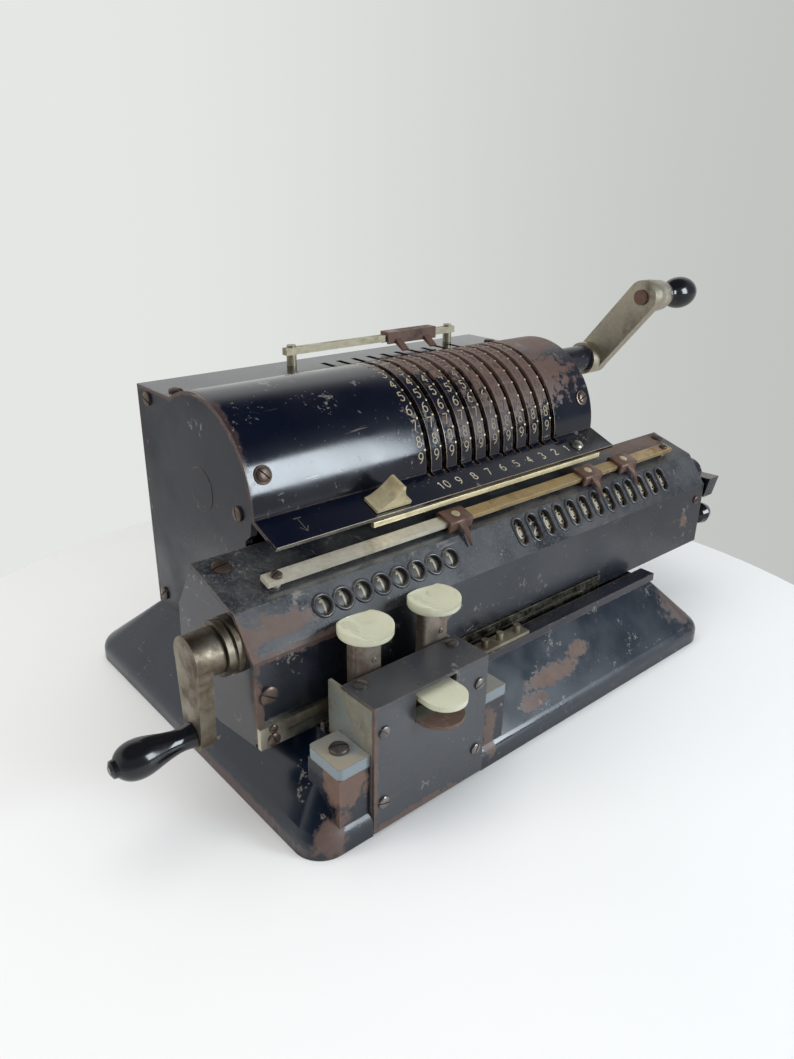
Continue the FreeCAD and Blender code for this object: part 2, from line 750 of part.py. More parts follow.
def window_rims():
    """Raised rims round the register windows."""
    rims = []
    for x, w, length in windows():
        outer = obround(x, w + rim_w, length + rim_w, 0.02, rim_h)
        rims.append(outer.cut(obround(x, w, length, -1, rim_h + 1)))
    return group(rims)


def end_plate_outline(rear_top, bottom):
    """Outline of a carriage end plate inside the skin."""
    skin = carriage_path(sheet + running_gap)
    rear_z = crossing((skin[0], skin[1]), ((rear_top, 0.0), (rear_top, 1.0)))[1]
    keel = bottom - end_plate_keel
    return [(rear_top, rear_z), skin[1], skin[2], (skin[2][0], bottom), (top_rear_y - 13.4, keel),
            (top_rear_y - 5.4, keel), (top_rear_y + 14.3, register_z - 16.4),
            (top_rear_y + 13.0, register_z + 0.6)]


def left_end_plate():
    """Left end plate of the carriage, with the hole for the axle."""
    plate = slab(end_plate_outline(top_rear_y, cover_bottom_z - 1.8), carriage_left, inner_left)
    return plate.cut(rod(carriage_left - 1, inner_left + 1, register_y, register_z, axle_r + running_gap))


def right_end_plate():
    """Right end plate of the carriage."""
    low = cover_bottom_z - 1.0
    outline = end_plate_outline(recess_y, low)
    outline[4] = (outline[4][0], low)
    outline[5] = (outline[5][0] + 1.0, low)
    plate = slab(outline, inner_right, carriage_right)
    plate = plate.cut(rod(inner_right - 1, carriage_right + 1, register_y, register_z, axle_r + running_gap))
    return plate


def carriage_shoe():
    """Carriage bed: a plate with two lips that straddle the guide rail."""
    bed = box(inner_left, inner_right, shoe_front_y, shoe_rear_y, shoe_z, shoe_z + shoe_t)
    near = guide_y - guide_w / 2 - clear_gap
    far = guide_y + guide_w / 2 + clear_gap
    low = base_height + 1.0
    lips = [box(inner_left, inner_right, near - shoe_lip_t, near, low, shoe_z),
            box(inner_left, inner_right, far, far + shoe_lip_t, low, shoe_z)]
    return fuse([bed] + lips)


def carriage_strip():
    """Bright strip along the foot of the carriage front, at its left end."""
    y1 = fold2_y - running_gap
    x1 = carriage_left + strip_length
    strip = box(carriage_left, x1, y1 - strip_t, y1, cover_bottom_z - 1.5, cover_bottom_z - 1.5 + strip_h)
    groove_z = cover_bottom_z - 1.5 + strip_h * 0.5
    groove = box(carriage_left + 12, x1 + 1, y1 - strip_t - 1, y1 - strip_t * 0.6, groove_z - 0.4,
                 groove_z + 0.4)
    return strip.cut(groove)


def register_axle():
    """Axle that carries the numeral wheels between the end plates."""
    left_end = carriage_left - ring_len
    return rod(left_end + 1, carriage_right + 4, register_y, register_z, axle_r)


def numeral_wheels(first_x, count):
    """Row of numeral wheels, each with a hub that reaches its neighbour."""
    wheels = []
    for i in range(count):
        x = first_x + digit_pitch * i
        rim = rod(x - wheel_w / 2, x + wheel_w / 2, register_y, register_z, wheel_r)
        hub = rod(x - digit_pitch / 2 + 0.05, x + digit_pitch / 2 - 0.05, register_y, register_z, wheel_hub_r)
        wheel = fuse([rim, hub]).cut(rod(x - digit_pitch, x + digit_pitch, register_y, register_z,
                                         axle_r + running_gap))
        wheels.append(wheel)
    return group(wheels)


def axle_spacers():
    """Collars on the axle beside the rows of wheels."""
    spans = [(inner_left + seat_gap, first_counter_x - digit_pitch / 2 - seat_gap),
             (first_counter_x + digit_pitch * (counter_digits - 0.5) + seat_gap,
              first_result_x - digit_pitch / 2 - seat_gap),
             (first_result_x + digit_pitch * (result_digits - 0.5) + seat_gap, inner_right - seat_gap)]
    return group([tube(a, b, register_y, register_z, axle_r + 1.5, axle_r + running_gap) for a, b in spans])


def clearing_bearing():
    """Stepped collar on the left end plate that the clearing crank turns on."""
    x = carriage_left
    rings = [(0, ring_big_r), (ring_len * 0.4, ring_big_r), (ring_len * 0.4, ring_big_r - 1.2),
             (ring_len * 0.6, ring_big_r - 1.2), (ring_len * 0.6, ring_big_r - 0.4),
             (ring_len, ring_big_r - 0.4)]
    body = turned([(-a, r) for a, r in rings], x, register_y, register_z)
    stub = rod(x - ring_len - clear_hub_len + 1.5, x - ring_len + 1, register_y, register_z, 4.5)
    return fuse([body, stub]).cut(rod(x - ring_len, x + 1, register_y, register_z, axle_r + running_gap))


def clearing_crank():
    """Hub and arm of the counter clearing crank, hanging down."""
    x0 = clear_arm_x
    x1 = carriage_left - ring_len - clear_gap
    hub = rod(x0, x1, register_y, register_z, clear_hub_r)
    foot_z = register_z - clear_arm_len
    half_top = clear_arm_top_w / 2
    half_foot = clear_arm_foot_w / 2
    quad = [(register_y - half_top, register_z), (register_y + half_top, register_z),
            (register_y + half_foot, foot_z), (register_y - half_foot, foot_z)]
    arm = slab(quad, x0, x0 + clear_arm_t)
    foot = rod(x0, x0 + clear_arm_t, register_y, foot_z, half_foot)
    bore = rod(x0 + 1.2, x1 + 1, register_y, register_z, 4.5 + running_gap)
    hole = rod(x0 - 1, x0 + clear_arm_t + 1, register_y, foot_z, clear_pin_r + running_gap)
    return fuse([hub, arm, foot]).cut(bore).cut(hole)


def clearing_handle_pin():
    """Riveted pin that the clearing handle turns on."""
    foot_z = register_z - clear_arm_len
    head = rod(clear_arm_x + clear_arm_t, clear_arm_x + clear_arm_t + 1, register_y, foot_z, clear_pin_r + 1)
    pin = rod(clear_arm_x - clear_handle_len + 3.4, clear_arm_x + clear_arm_t + 0.5, register_y, foot_z,
              clear_pin_r)
    return fuse([head, pin])


def clearing_handle():
    """Turned black handle of the clearing crank, thickest near its outer end."""
    foot_z = register_z - clear_arm_len
    n = clear_neck_r
    r = clear_handle_r
    length = clear_handle_len
    stations = [(-clear_gap, n * 1.15), (-4, n), (-9, n * 1.1), (-15, r * 0.86), (-21, r), (-26, r * 0.86),
                (-length + 1, r * 0.5)]
    body = smooth_turned(stations[::-1], clear_arm_x, register_y, foot_z)
    return body.cut(rod(clear_arm_x - length + 3, clear_arm_x + 1, register_y, foot_z,
                        clear_pin_r + running_gap))


def clearing_cap():
    """Small cap on the end of the clearing handle."""
    foot_z = register_z - clear_arm_len
    x = clear_arm_x - clear_handle_len + 1
    return turned([(-2.4, 1.6), (-1.6, clear_handle_r * 0.45), (-0.02, clear_handle_r * 0.48)], x, register_y,
                  foot_z)


def result_wing():
    """Wing nut that clears the result register."""
    x0 = carriage_right + clear_gap
    hub = rod(x0, x0 + wing_w, register_y, register_z, wing_hub_r)
    half = wing_t / 2
    shape = [(0, -half), (wing_hub_r, -half), (wing_len, -half * 1.7), (wing_len, half * 1.7),
             (wing_hub_r, half), (0, half)]
    wings = []
    for sign in (-1, 1):
        points = [(register_y + sign * a, register_z + b) for a, b in shape]
        wings.append(slab(points, x0 + 1, x0 + wing_w))
    bore = rod(x0 - 1, x0 + wing_w * 0.6, register_y, register_z, axle_r + running_gap)
    nut = fuse([hub] + wings).cut(bore)
    nut.rotate(V(0, register_y, register_z), V(1, 0, 0), 12)
    return nut


def end_knob():
    """Hand knob on its collar at the right end of the carriage."""
    stations = [(0, 4.2), (3, 4.2), (3, 2.6), (6, 2.6), (8, end_knob_r * 0.85), (12, end_knob_r),
                (16, end_knob_r * 0.8), (18, end_knob_r * 0.3)]
    return turned(stations, carriage_right, end_knob_y, end_knob_z)


def on_top(y, lift):
    """Point above the carriage's top face, measured square to it."""
    along = (y - fold1_y) / math.cos(top_slope)
    return (fold1_y + along * math.cos(top_slope) - lift * math.sin(top_slope),
            fold1_z + along * math.sin(top_slope) + lift * math.cos(top_slope))


def top_block(y0, y1, lift0, lift1, x0, x1):
    """Block square to the carriage's top face."""
    return slab([on_top(y0, lift0), on_top(y1, lift0), on_top(y1, lift1), on_top(y0, lift1)], x0, x1)


def marker_bar():
    """Flat bar above the carriage top, with its two posts."""
    half = bar_w / 2
    bar = top_block(bar_y - half, bar_y + half, bar_lift, bar_lift + bar_t, bar_left, bar_right)
    parts = [bar]
    for x in (bar_left + 5, bar_right - 5):
        y, z = on_top(bar_y, 0.02)
        up = V(0, -math.sin(top_slope), math.cos(top_slope))
        parts.append(Part.makeCylinder(bar_post_r, bar_lift - 0.04, V(x, y, z), up))
    return group(parts)


def carriage_marker(x):
    """Decimal marker: a saddle that runs on the bar, with a pointed tail towards the windows."""
    half = marker_depth / 2
    gap = 0.25
    low = 0.35
    high = bar_lift + bar_t + gap
    top = top_block(bar_y - half, bar_y + half, high, high + marker_t, x - marker_w / 2, x + marker_w / 2)
    inner = bar_w / 2 + gap
    cheeks = [top_block(bar_y - inner - marker_t, bar_y - inner, low, high, x - marker_w / 2, x + marker_w / 2),
              top_block(bar_y + inner, bar_y + inner + marker_t, low, high, x - marker_w / 2,
                        x + marker_w / 2)]
    y0, z0 = on_top(bar_y - half + 0.5, high)
    y1, z1 = on_top(fold1_y - 1.5, 2.6)
    y2 = window_y - 0.2 - 2.2
    z2 = window_z + 5.4
    tail = slab([(y0, z0), (y0, z0 + marker_t), (y1, z1 + marker_t), (y2 - 0.8, z2 + 0.6), (y2, z2), (y1, z1)],
                x - 1.6, x + 1.6)
    return fuse([top] + cheeks + [tail])


def rear_rail():
    """Rail above the rear of the cover, on two posts."""
    z0 = plate_top_z + rear_rail_lift
    half = rear_rail_w / 2
    bar = box(rear_rail_left, rear_rail_right, rear_rail_y - half, rear_rail_y + half, z0, z0 + rear_rail_h)
    posts = [post(x, rear_rail_y, plate_top_z + 0.02, z0 - 0.02, 2.4)
             for x in (rear_rail_left + 4, rear_rail_right - 4)]
    caps = [post(x, rear_rail_y, z0 + rear_rail_h + 0.02, z0 + rear_rail_h + 1.2, 2.2)
            for x in (rear_rail_left + 4, rear_rail_right - 4)]
    return group([bar] + posts + caps)


def rear_marker():
    """Double pointer that slides on the rear rail."""
    gap = 0.25
    z0 = plate_top_z + rear_rail_lift
    half = rear_rail_w / 2 + gap
    x0 = rear_marker_left
    x1 = rear_marker_left + rear_marker_len
    wall = 1.3
    outer = box(x0, x1, rear_rail_y - half - wall, rear_rail_y + half + wall, z0 - 1.2,
                z0 + rear_rail_h + gap + wall)
    slot = box(x0 - 1, x1 + 1, rear_rail_y - half, rear_rail_y + half, z0 - 2, z0 + rear_rail_h + gap)
    saddle = outer.cut(slot)
    front = rear_rail_y - half - wall
    prongs = []
    for x in (x0 + rear_prong_inset, x1 - rear_prong_inset - rear_prong_w):
        points = [(front + 0.6, z0 + 1.6), (front + 0.6, z0 - 1.2), (front - 5.5, plate_top_z + 0.8),
                  (front - 6.5, plate_top_z + 1.6)]
        prongs.append(slab(points, x, x + rear_prong_w))
    return fuse([saddle] + prongs)


def key_block_case():
    """Folded box of the key block, open at the rear of its top for the key stems."""
    z0 = block_low
    outer = box(block_left, block_right, block_front + sheet, block_rear, z0, block_top - sheet)
    inner = box(block_left + block_wall, block_right - block_wall, block_front, block_rear - block_wall,
                z0 + block_wall, block_top)
    shelf_z = scoop_z - shelf_drop
    shelf = box(block_left + block_wall, block_right - block_wall, block_front + sheet, block_step, shelf_z,
                shelf_z + block_wall)
    guide = box(front_key_x - 4.1, front_key_x + 4.1, block_step - 6.1, block_step - 3.9, shelf_z - 1,
                shelf_z + block_wall + 1)
    shelf = shelf.cut(guide)
    low_rear = box(block_left + block_wall, block_right - block_wall, block_step, block_rear + 1,
                   block_step_z, block_top)
    return fuse([outer.cut(inner).cut(low_rear), shelf])


def key_block_front():
    """Front plate of the key block with the cut-out for the front key."""
    plate = box(block_left, block_right, block_front, block_front + sheet - running_gap, block_low,
                block_top - sheet)
    left = front_key_x - front_key_w / 2 - 1.5
    right = front_key_x + front_key_w / 2 + 1.5
    low = scoop_z - scoop_t - running_gap
    return plate.cut(box(left, right, block_front - 1, block_front + sheet + 1, low, block_top))


def key_block_top():
    """Top plate over the front half of the key block."""
    return box(block_left, block_right, block_front, block_step, block_top - sheet + running_gap, block_top)


def tongue(width, reach, y_root, z0, z1):
    """Flat tongue with a half-round end that points to the front, centred on the front key."""
    r = width / 2
    x = front_key_x
    end = y_root - reach + r
    a = V(x - r, y_root, z0)
    b = V(x - r, end, z0)
    c = V(x, end - r, z0)
    d = V(x + r, end, z0)
    e = V(x + r, y_root, z0)
    wire = Part.Wire([Part.makeLine(a, b), Part.Arc(b, c, d).toShape(), Part.makeLine(d, e),
                      Part.makeLine(e, a)])
    return Part.Face(wire).extrude(V(0, 0, z1 - z0))


def front_scoop():
    """Brown guard tongue below the front key, folded down behind the front plate."""
    blade = tongue(front_key_w + 2, 17.0, block_front + sheet + 4, scoop_z - scoop_t, scoop_z)
    fold = box(front_key_x - 7, front_key_x + 7, block_front + sheet, block_front + sheet + 1.4, scoop_z - 13,
               scoop_z)
    return fuse([blade, fold])


def front_key():
    """Front key: an ivory finger plate on a tongue that dips into the block."""
    z0 = scoop_z + front_key_lift
    plate = tongue(front_key_w, front_key_reach - 3, block_front + 4, z0, z0 + front_key_t)
    return plate


def front_key_arm():
    """Steel arm that carries the front key's finger plate inside the block."""
    z0 = scoop_z + front_key_lift
    arm = box(front_key_x - 4, front_key_x + 4, block_front - 5, block_step - 4, z0 - 1.6, z0 - 0.02)
    leg = box(front_key_x - 4, front_key_x + 4, block_step - 6, block_step - 4, scoop_z - shelf_drop - 6,
              z0 - 1.6)
    return fuse([arm, leg])


def key_stem(x):
    """Folded steel stem of a top key."""
    half = key_stem_w / 2
    y0 = key_y - key_stem_d / 2 + 1.8
    y1 = block_rear - block_wall - 0.3
    z0 = block_top - key_stem_below
    z1 = key_top_z - key_cap_t
    outer = box(x - half, x + half, y0, y1, z0, z1)
    inner = box(x - half + 1.2, x + half - 1.2, y0 + 1.2, y1 + 1, z0 - 1, z1 - 2)
    return outer.cut(inner)


def key_cap(x):
    """Ivory cap with a cylindrical hollow for the finger."""
    z0 = key_top_z - key_cap_t + 0.02
    cap = post(x, key_y, z0, key_top_z + 1.6, key_cap_r)
    scoop_r = 21.0
    scoop = Part.makeCylinder(scoop_r, 60, V(x, key_y - 30, key_top_z - 1.0 + scoop_r), V(0, 1, 0))
    return cap.cut(scoop)


def stop_plate():
    """Brass plate with three stop pins on the front rail."""
    y0 = ledge_front + 0.6
    y1 = ledge_rear - 0.4
    plate = box(stop_left, stop_left + stop_len, y0, y1, ledge_top + 0.02, ledge_top + 1.6)
    middle = (y0 + y1) / 2
    pins = [post(stop_left + stop_len * s, middle, ledge_top + 1.0, ledge_top + 5.0, 1.6)
            for s in (0.2, 0.5, 0.85)]
    return fuse([plate] + pins)


def lock_neck_y():
    """Line of the lock bar's neck through the flange."""
    return flange_front_y + 6.0


def flange_z(y):
    """Height of the flange's upper face."""
    return flange_front_z + (y - flange_front_y) * math.tan(flange_angle)


def lock_bar():
    """Brass bar under the flange edge, with a lug and neck for the thumb lever."""
    under = flange_front_z - sheet / math.cos(flange_angle)
    z1 = under - 0.25
    z0 = z1 - 2.4
    y0 = flange_front_y + 0.3
    bar = box(lock_bar_left, lock_bar_right, y0, y0 + 2.0, z0, z1)
    ny = lock_neck_y()
    half = lock_neck_w / 2
    lug = box(lock_neck_x - 5, lock_neck_x + 5, y0, ny + 1.2, z0, z1)
    neck = box(lock_neck_x - half, lock_neck_x + half, ny - 1.2, ny + 1.2, z0, flange_z(ny) + 1.3)
    return fuse([bar, lug, neck])


def thumb_lever():
    """Bent brass finger piece on the flange, a ramp on the left and a steep side on the right."""
    ny = lock_neck_y()
    base = flange_z(ny) + clear_gap + 0.1
    x = lock_neck_x
    profile = [(x - 9.5, base), (x + 9.5, base), (x + 9.5, base + 1.3), (x + 5.5, base + 1.3),
               (x + 3.0, base + 10.5), (x + 1.2, base + 10.5), (x - 4.5, base + 2.9), (x - 9.5, base + 1.3)]
    ring = [V(a, ny - 4.6, b) for a, b in profile]
    piece = Part.Face(Part.makePolygon(ring + ring[:1])).extrude(V(0, 9.5, 0))
    piece.rotate(V(x, ny, base), V(1, 0, 0), math.degrees(flange_angle))
    return piece


def cover_screws():
    """Screws of the housing: on the side plates, the drum, the flat top and the flange."""
    heads = []
    for x, way in ((housing_left, -1), (housing_right, 1)):
        for y, z in side_screws:
            heads.append(Part.makeCylinder(3.0, 1.4, V(x + way * 0.02, y, z), V(way, 0, 0)))
    angle = math.radians(drum_screw_angle)
    for x in (housing_left + screw_inset, housing_right - screw_inset):
        out = V(0, -math.cos(angle), math.sin(angle))
        foot = V(x, rotor_y, rotor_z) + out * (drum_r + 0.03)
        heads.append(Part.makeCylinder(3.8, 1.6, foot, out))
    for x in (housing_left + screw_inset, housing_right - screw_inset):
        heads.append(post(x, drum_rear_y + 8.0, plate_top_z + 0.02, plate_top_z + 1.6, 3.0))
    tilt = V(0, -math.sin(flange_angle), math.cos(flange_angle))
    y = flange_front_y + screw_inset
    foot = V(slots_x[-1] + digit_pitch, y, flange_z(y) + 0.03)
    heads.append(Part.makeCylinder(3.2, 1.8, foot, tilt))
    return group(heads)


def carriage_screws():
    """Screws of the carriage: top corners, front, bar ends and strip."""
    up = V(0, -math.sin(top_slope), math.cos(top_slope))
    heads = []
    on_bar = bar_lift + bar_t + 0.03
    for x, y, lift, r in ((carriage_left + 9, top_rear_y - screw_inset, 0.03, 4.0),
                          (carriage_right - 5, recess_y - 5, 0.03, 3.0),
                          (bar_left + 5, bar_y, on_bar, 2.2), (bar_right - 5, bar_y, on_bar, 2.2)):
        py, pz = on_top(y, lift)
        heads.append(Part.makeCylinder(r, 1.4, V(x, py, pz), up))
    front = V(0, -1, 0)
    heads.append(Part.makeCylinder(3.6, 1.5, V(carriage_left + 5.5, fold2_y - 0.02, fold2_z - 15), front))
    face = fold2_y - running_gap - strip_t - 0.02
    heads.append(Part.makeCylinder(2.6, 1.2, V(carriage_left + 5.5, face, cover_bottom_z + 1.4), front))
    heads.append(Part.makeCylinder(1.8, 1.0, V(carriage_left + 5.5, face, cover_bottom_z + 6.0), front))
    return group(heads)


def block_screws():
    """Screws of the key block and the big screw of the frame foot."""
    heads = []
    for x in (block_left + 4.5, block_right - 4.5):
        for z in (block_top - 11.4, block_low + 13.0):
            heads.append(Part.makeCylinder(2.4, 1.0, V(x, block_front - 0.02, z), V(0, -1, 0)))
    for x in (block_left + 5.5, block_right - 5.5):
        heads.append(post(x, block_step - 4.5, block_top + 0.02, block_top + 1.2, 2.6))
    heads.append(post(block_left - boss_w / 2, (boss_front + boss_rear) / 2, boss_top + lug_t + 0.02,
                      boss_top + lug_t + 2.0, 4.6))
    return group(heads)


def build_frame():
    """Pieces that stay on the table, by node name."""
    return {
        "base_pan": base_pan(),
        "bottom_plate": bottom_plate(),
        "rubber_pads": rubber_pads(),
        "frame_feet": group([frame_lug(), right_lug()]),
        "frame_rails": group([front_rail(), carriage_guide()]),
        "left_side_plate": side_plate(housing_left, False),
        "right_side_plate": side_plate(housing_right - side_plate_t, True),
        "main_cover": main_cover(),
        "rear_cover": rear_cover(),
        "cross_bar": group([cross_bar(), carry_shaft()]),
        "rotor_bushes": rotor_bushes(),
        "crank_sleeve": crank_sleeve(),
        "rear_rail": rear_rail(),
        "key_block_case": group([key_block_case(), front_scoop()]),
        "key_block_plates": group([key_block_front(), key_block_top()]),
        "stop_plate": stop_plate(),
        "cover_screws": cover_screws(),
        "block_screws": block_screws(),
    }


def build_drive():
    """Rotor, carry gears, crank, keys and the other pieces that move on the frame."""
    nodes = {
        "carry_gears": carry_gears(),
        "rotor_shaft": group([rotor_shaft(), rotor_spacers()]),
        "pinwheels": group([pinwheel_discs(), pinwheel_pins()]),
        "rotor_gear": rotor_gear(),
        "crank_shaft": group([crank_shaft(), crank_gear()]),
        "crank_arm": crank_arm(),
        "crank_stud": crank_stud(),
        "crank_knob": crank_knob(),
        "rear_marker": rear_marker(),
        "front_key": group([front_key(), front_key_arm()]),
        "left_key": group([key_stem(key_xs[0]), key_cap(key_xs[0])]),
        "right_key": group([key_stem(key_xs[1]), key_cap(key_xs[1])]),
        "lock_bar": fuse([lock_bar(), thumb_lever()]),
    }
    for i in range(setting_digits):
        nodes["setting_lever_%02d" % (i + 1)] = setting_lever(i)
    return nodes


def build_carriage():
    """Carriage and what it carries, by node name."""
    nodes = {
        "carriage_cover": carriage_cover(),
        "window_rims": window_rims(),
        "left_end_plate": left_end_plate(),
        "right_end_plate": right_end_plate(),
        "carriage_shoe": carriage_shoe(),
        "carriage_strip": carriage_strip(),
        "register_axle": group([register_axle(), axle_spacers()]),
        "result_wheels": numeral_wheels(first_result_x, result_digits),
        "counter_wheels": numeral_wheels(first_counter_x, counter_digits),
        "clearing_bearing": clearing_bearing(),
        "clearing_crank": group([clearing_crank(), clearing_handle_pin()]),
        "clearing_handle": group([clearing_handle(), clearing_cap()]),
        "result_wing": result_wing(),
        "end_knob": end_knob(),
        "marker_bar": marker_bar(),
        "carriage_screws": carriage_screws(),
    }
    for i, x in enumerate(marker_places):
        nodes["carriage_marker_%d" % (i + 1)] = carriage_marker(x)
    return nodes


def main():
    """Build every node and write one STEP file for each."""
    os.makedirs("parts", exist_ok=True)
    nodes = build_frame()
    nodes.update(build_drive())
    nodes.update(build_carriage())
    for name, shape in nodes.items():
        shape.exportStep("parts/%s.step" % name)
    print(len(nodes), "nodes")


main()
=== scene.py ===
"""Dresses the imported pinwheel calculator: finishes, figures, screws, key caps, light and camera."""
import logging
import math
from dataclasses import dataclass, field
from enum import Enum
from typing import Callable, Sequence

import bmesh
import bpy
import numpy as np
from mathutils import Matrix, Vector


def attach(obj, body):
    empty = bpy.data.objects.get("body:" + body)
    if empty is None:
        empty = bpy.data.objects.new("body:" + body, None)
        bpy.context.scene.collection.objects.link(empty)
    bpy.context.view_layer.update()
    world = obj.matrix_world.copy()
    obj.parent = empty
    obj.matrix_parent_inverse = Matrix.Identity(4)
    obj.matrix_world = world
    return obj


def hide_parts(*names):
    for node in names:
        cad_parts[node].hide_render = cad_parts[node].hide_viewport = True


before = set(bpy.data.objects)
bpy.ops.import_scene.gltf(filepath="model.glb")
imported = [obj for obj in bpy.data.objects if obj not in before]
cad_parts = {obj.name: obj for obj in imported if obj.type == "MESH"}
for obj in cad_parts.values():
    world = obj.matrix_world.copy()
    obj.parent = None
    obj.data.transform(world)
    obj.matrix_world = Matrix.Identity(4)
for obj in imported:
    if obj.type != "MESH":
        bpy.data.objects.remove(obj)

LOG = logging.getLogger("calculator")
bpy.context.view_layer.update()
MM = 0.001
LEFT, RIGHT, FRONT, UP = (-1, 0, 0), (1, 0, 0), (0, -1, 0), (0, 0, 1)

Socket = bpy.types.NodeSocket
Node = bpy.types.Node
Tree = bpy.types.NodeTree
Material = bpy.types.Material
Finishes = dict[str, Material]
Array = np.ndarray
Triple = tuple[float, float, float]
Place = Callable[[Array, Array, Array], Array]


# Places on the machine, in millimetres

PITCH = 256.0 / 26.976
SLOT_X = [(-1.286 + i) * PITCH for i in range(10)]
RESULT_X = [(1.918 + i) * PITCH for i in range(13)]
COUNTER_X = [(-9.768 + i) * PITCH for i in range(8)]
DRUM = (16.2, 105.5, 40.5)
REGISTER = (-45.5, 70.0, 10.12)
FLANGE_FRONT = (-39.7, 98.2)
FLANGE_BEND = (-24.3, 104.3)
FOLD_TOP = (-19.6, 92.4)
FOLD_ONE = (-49.6, 83.7)
FOLD_TWO = (-61.3, 68.9)
CARRIAGE_X = (-128.0, 166.0)
HOUSING_X = (-103.0, 105.0)
TOP_SLOPE = math.atan2(FOLD_TOP[1] - FOLD_ONE[1], FOLD_TOP[0] - FOLD_ONE[0])
TOP_OUT = (0.0, -math.sin(TOP_SLOPE), math.cos(TOP_SLOPE))


class Figure(Enum):
    """Strokes of each numeral in a box one unit high: arcs (cx, cy, rx, ry, from, to) and lines."""

    ZERO = (("arc", 0.0, 0.5, 0.27, 0.5, 90, 450),)
    ONE = (("line", -0.16, 0.8, 0.04, 1.0), ("line", 0.04, 1.0, 0.04, 0.0))
    TWO = (("arc", 0.0, 0.72, 0.27, 0.28, 165, -28), ("line", 0.24, 0.58, -0.26, 0.02),
           ("line", -0.28, 0.02, 0.3, 0.02))
    THREE = (("arc", -0.02, 0.76, 0.24, 0.24, 150, -90), ("arc", -0.02, 0.27, 0.28, 0.27, 90, -150))
    FOUR = (("line", 0.13, 0.0, 0.13, 1.0), ("line", 0.13, 1.0, -0.28, 0.3), ("line", -0.28, 0.3, 0.3, 0.3))
    FIVE = (("line", 0.24, 0.98, -0.18, 0.98), ("line", -0.18, 0.98, -0.22, 0.56),
            ("arc", -0.02, 0.31, 0.28, 0.31, 128, -150))
    SIX = (("arc", 0.0, 0.29, 0.27, 0.29, 90, 450), ("arc", 0.3, 0.32, 0.57, 0.68, 180, 104))
    SEVEN = (("line", -0.27, 0.98, 0.28, 0.98), ("line", 0.28, 0.98, -0.08, 0.0))
    EIGHT = (("arc", 0.0, 0.75, 0.22, 0.24, 90, 450), ("arc", 0.0, 0.26, 0.27, 0.26, 90, 450))
    NINE = (("arc", 0.0, 0.71, 0.27, 0.29, 90, 450), ("arc", -0.3, 0.68, 0.57, 0.68, 0, -76))


FIGURES = tuple(figure.value for figure in Figure)
ZERO_FILL = (("line", 0.0, 0.25, 0.0, 0.75),)
ARROW = (("line", 0.0, 0.95, 0.0, 0.0), ("line", -0.22, 0.34, 0.0, 0.0), ("line", 0.0, 0.0, 0.22, 0.34),
         ("line", -0.2, 0.95, 0.2, 0.95))


# Surfaces

def grid_faces(rows: int, cols: int, wrap: bool = False) -> Array:
    """Quads of a grid whose points are stored row by row.

    Args:
        rows: Points down the grid.
        cols: Points across the grid.
        wrap: Whether the last column joins the first.

    Returns:
        Point numbers, one row of four for each quad.
    """
    r = np.arange(rows - 1)[:, None]
    c = np.arange(cols if wrap else cols - 1)[None, :]
    n = (c + 1) % cols
    quads = np.stack([r * cols + c, r * cols + n, (r + 1) * cols + n, (r + 1) * cols + c], axis=-1)
    return quads.reshape(-1, 4)


@dataclass
class Shell:
    """Points and faces of a mesh in the making, in millimetres."""

    points: list[Array] = field(default_factory=list)
    faces: list[Array] = field(default_factory=list)
    count: int = 0

    def add(self, points: Array, faces: Array) -> None:
        """Append points with the faces that join them."""
        flat = np.asarray(points, float).reshape(-1, 3)
        self.points.append(flat)
        self.faces.extend(np.asarray(faces) + self.count)
        self.count += len(flat)

    def tube(self, rings: Array) -> None:
        """Append a closed skin over rings of points: rings[i, j] is point j of ring i, ends capped."""
        rows, cols = rings.shape[:2]
        self.add(rings, grid_faces(rows, cols, True))
        start = self.count - rows * cols
        self.faces.extend([np.arange(cols)[::-1] + start, np.arange(cols) + start + (rows - 1) * cols])

    def mesh(self, name: str, smooth: float | None = 35.0) -> bpy.types.Object:
        """Write the points and faces into a new object, with the faces turned outwards.

        Args:
            name: Name of the piece.
            smooth: Angle in degrees under which edges are shaded smooth, or None for flat faces.

        Returns:
            The object, linked to the scene.
        """
        data = bpy.data.meshes.new(name)
        points = np.concatenate(self.points) * MM
        data.from_pydata(points.tolist(), [], [list(map(int, f)) for f in self.faces])
        work = bmesh.new()
        work.from_mesh(data)
        bmesh.ops.remove_doubles(work, verts=work.verts, dist=1e-7)
        bmesh.ops.recalc_face_normals(work, faces=work.faces)
        work.to_mesh(data)
        work.free()
        obj = bpy.data.objects.new(name, data)
        bpy.context.scene.collection.objects.link(obj)
        if smooth is not None:
            data.polygons.foreach_set("use_smooth", np.ones(len(data.polygons), bool))
            data.set_sharp_from_angle(angle=math.radians(smooth))
        return obj


def unit(vector: Sequence[float]) -> Array:
    """Vector brought to length one."""
    return np.asarray(vector, float) / np.linalg.norm(vector)


def stroke_points(stroke: Sequence) -> Array:
    """Centre line of one stroke in the unit box; an arc is (cx + rx cos a, cy + ry sin a).

    Args:
        stroke: Kind and numbers of the stroke.

    Returns:
        Points along it, one row each.
    """
    kind, *v = stroke
    if kind == "line":
        t = np.linspace(0.0, 1.0, 5)
        return np.stack([v[0] + (v[2] - v[0]) * t, v[1] + (v[3] - v[1]) * t], axis=-1)
    a = np.radians(np.linspace(v[4], v[5], 21))
    return np.stack([v[0] + v[2] * np.cos(a), v[1] + v[3] * np.sin(a)], axis=-1)


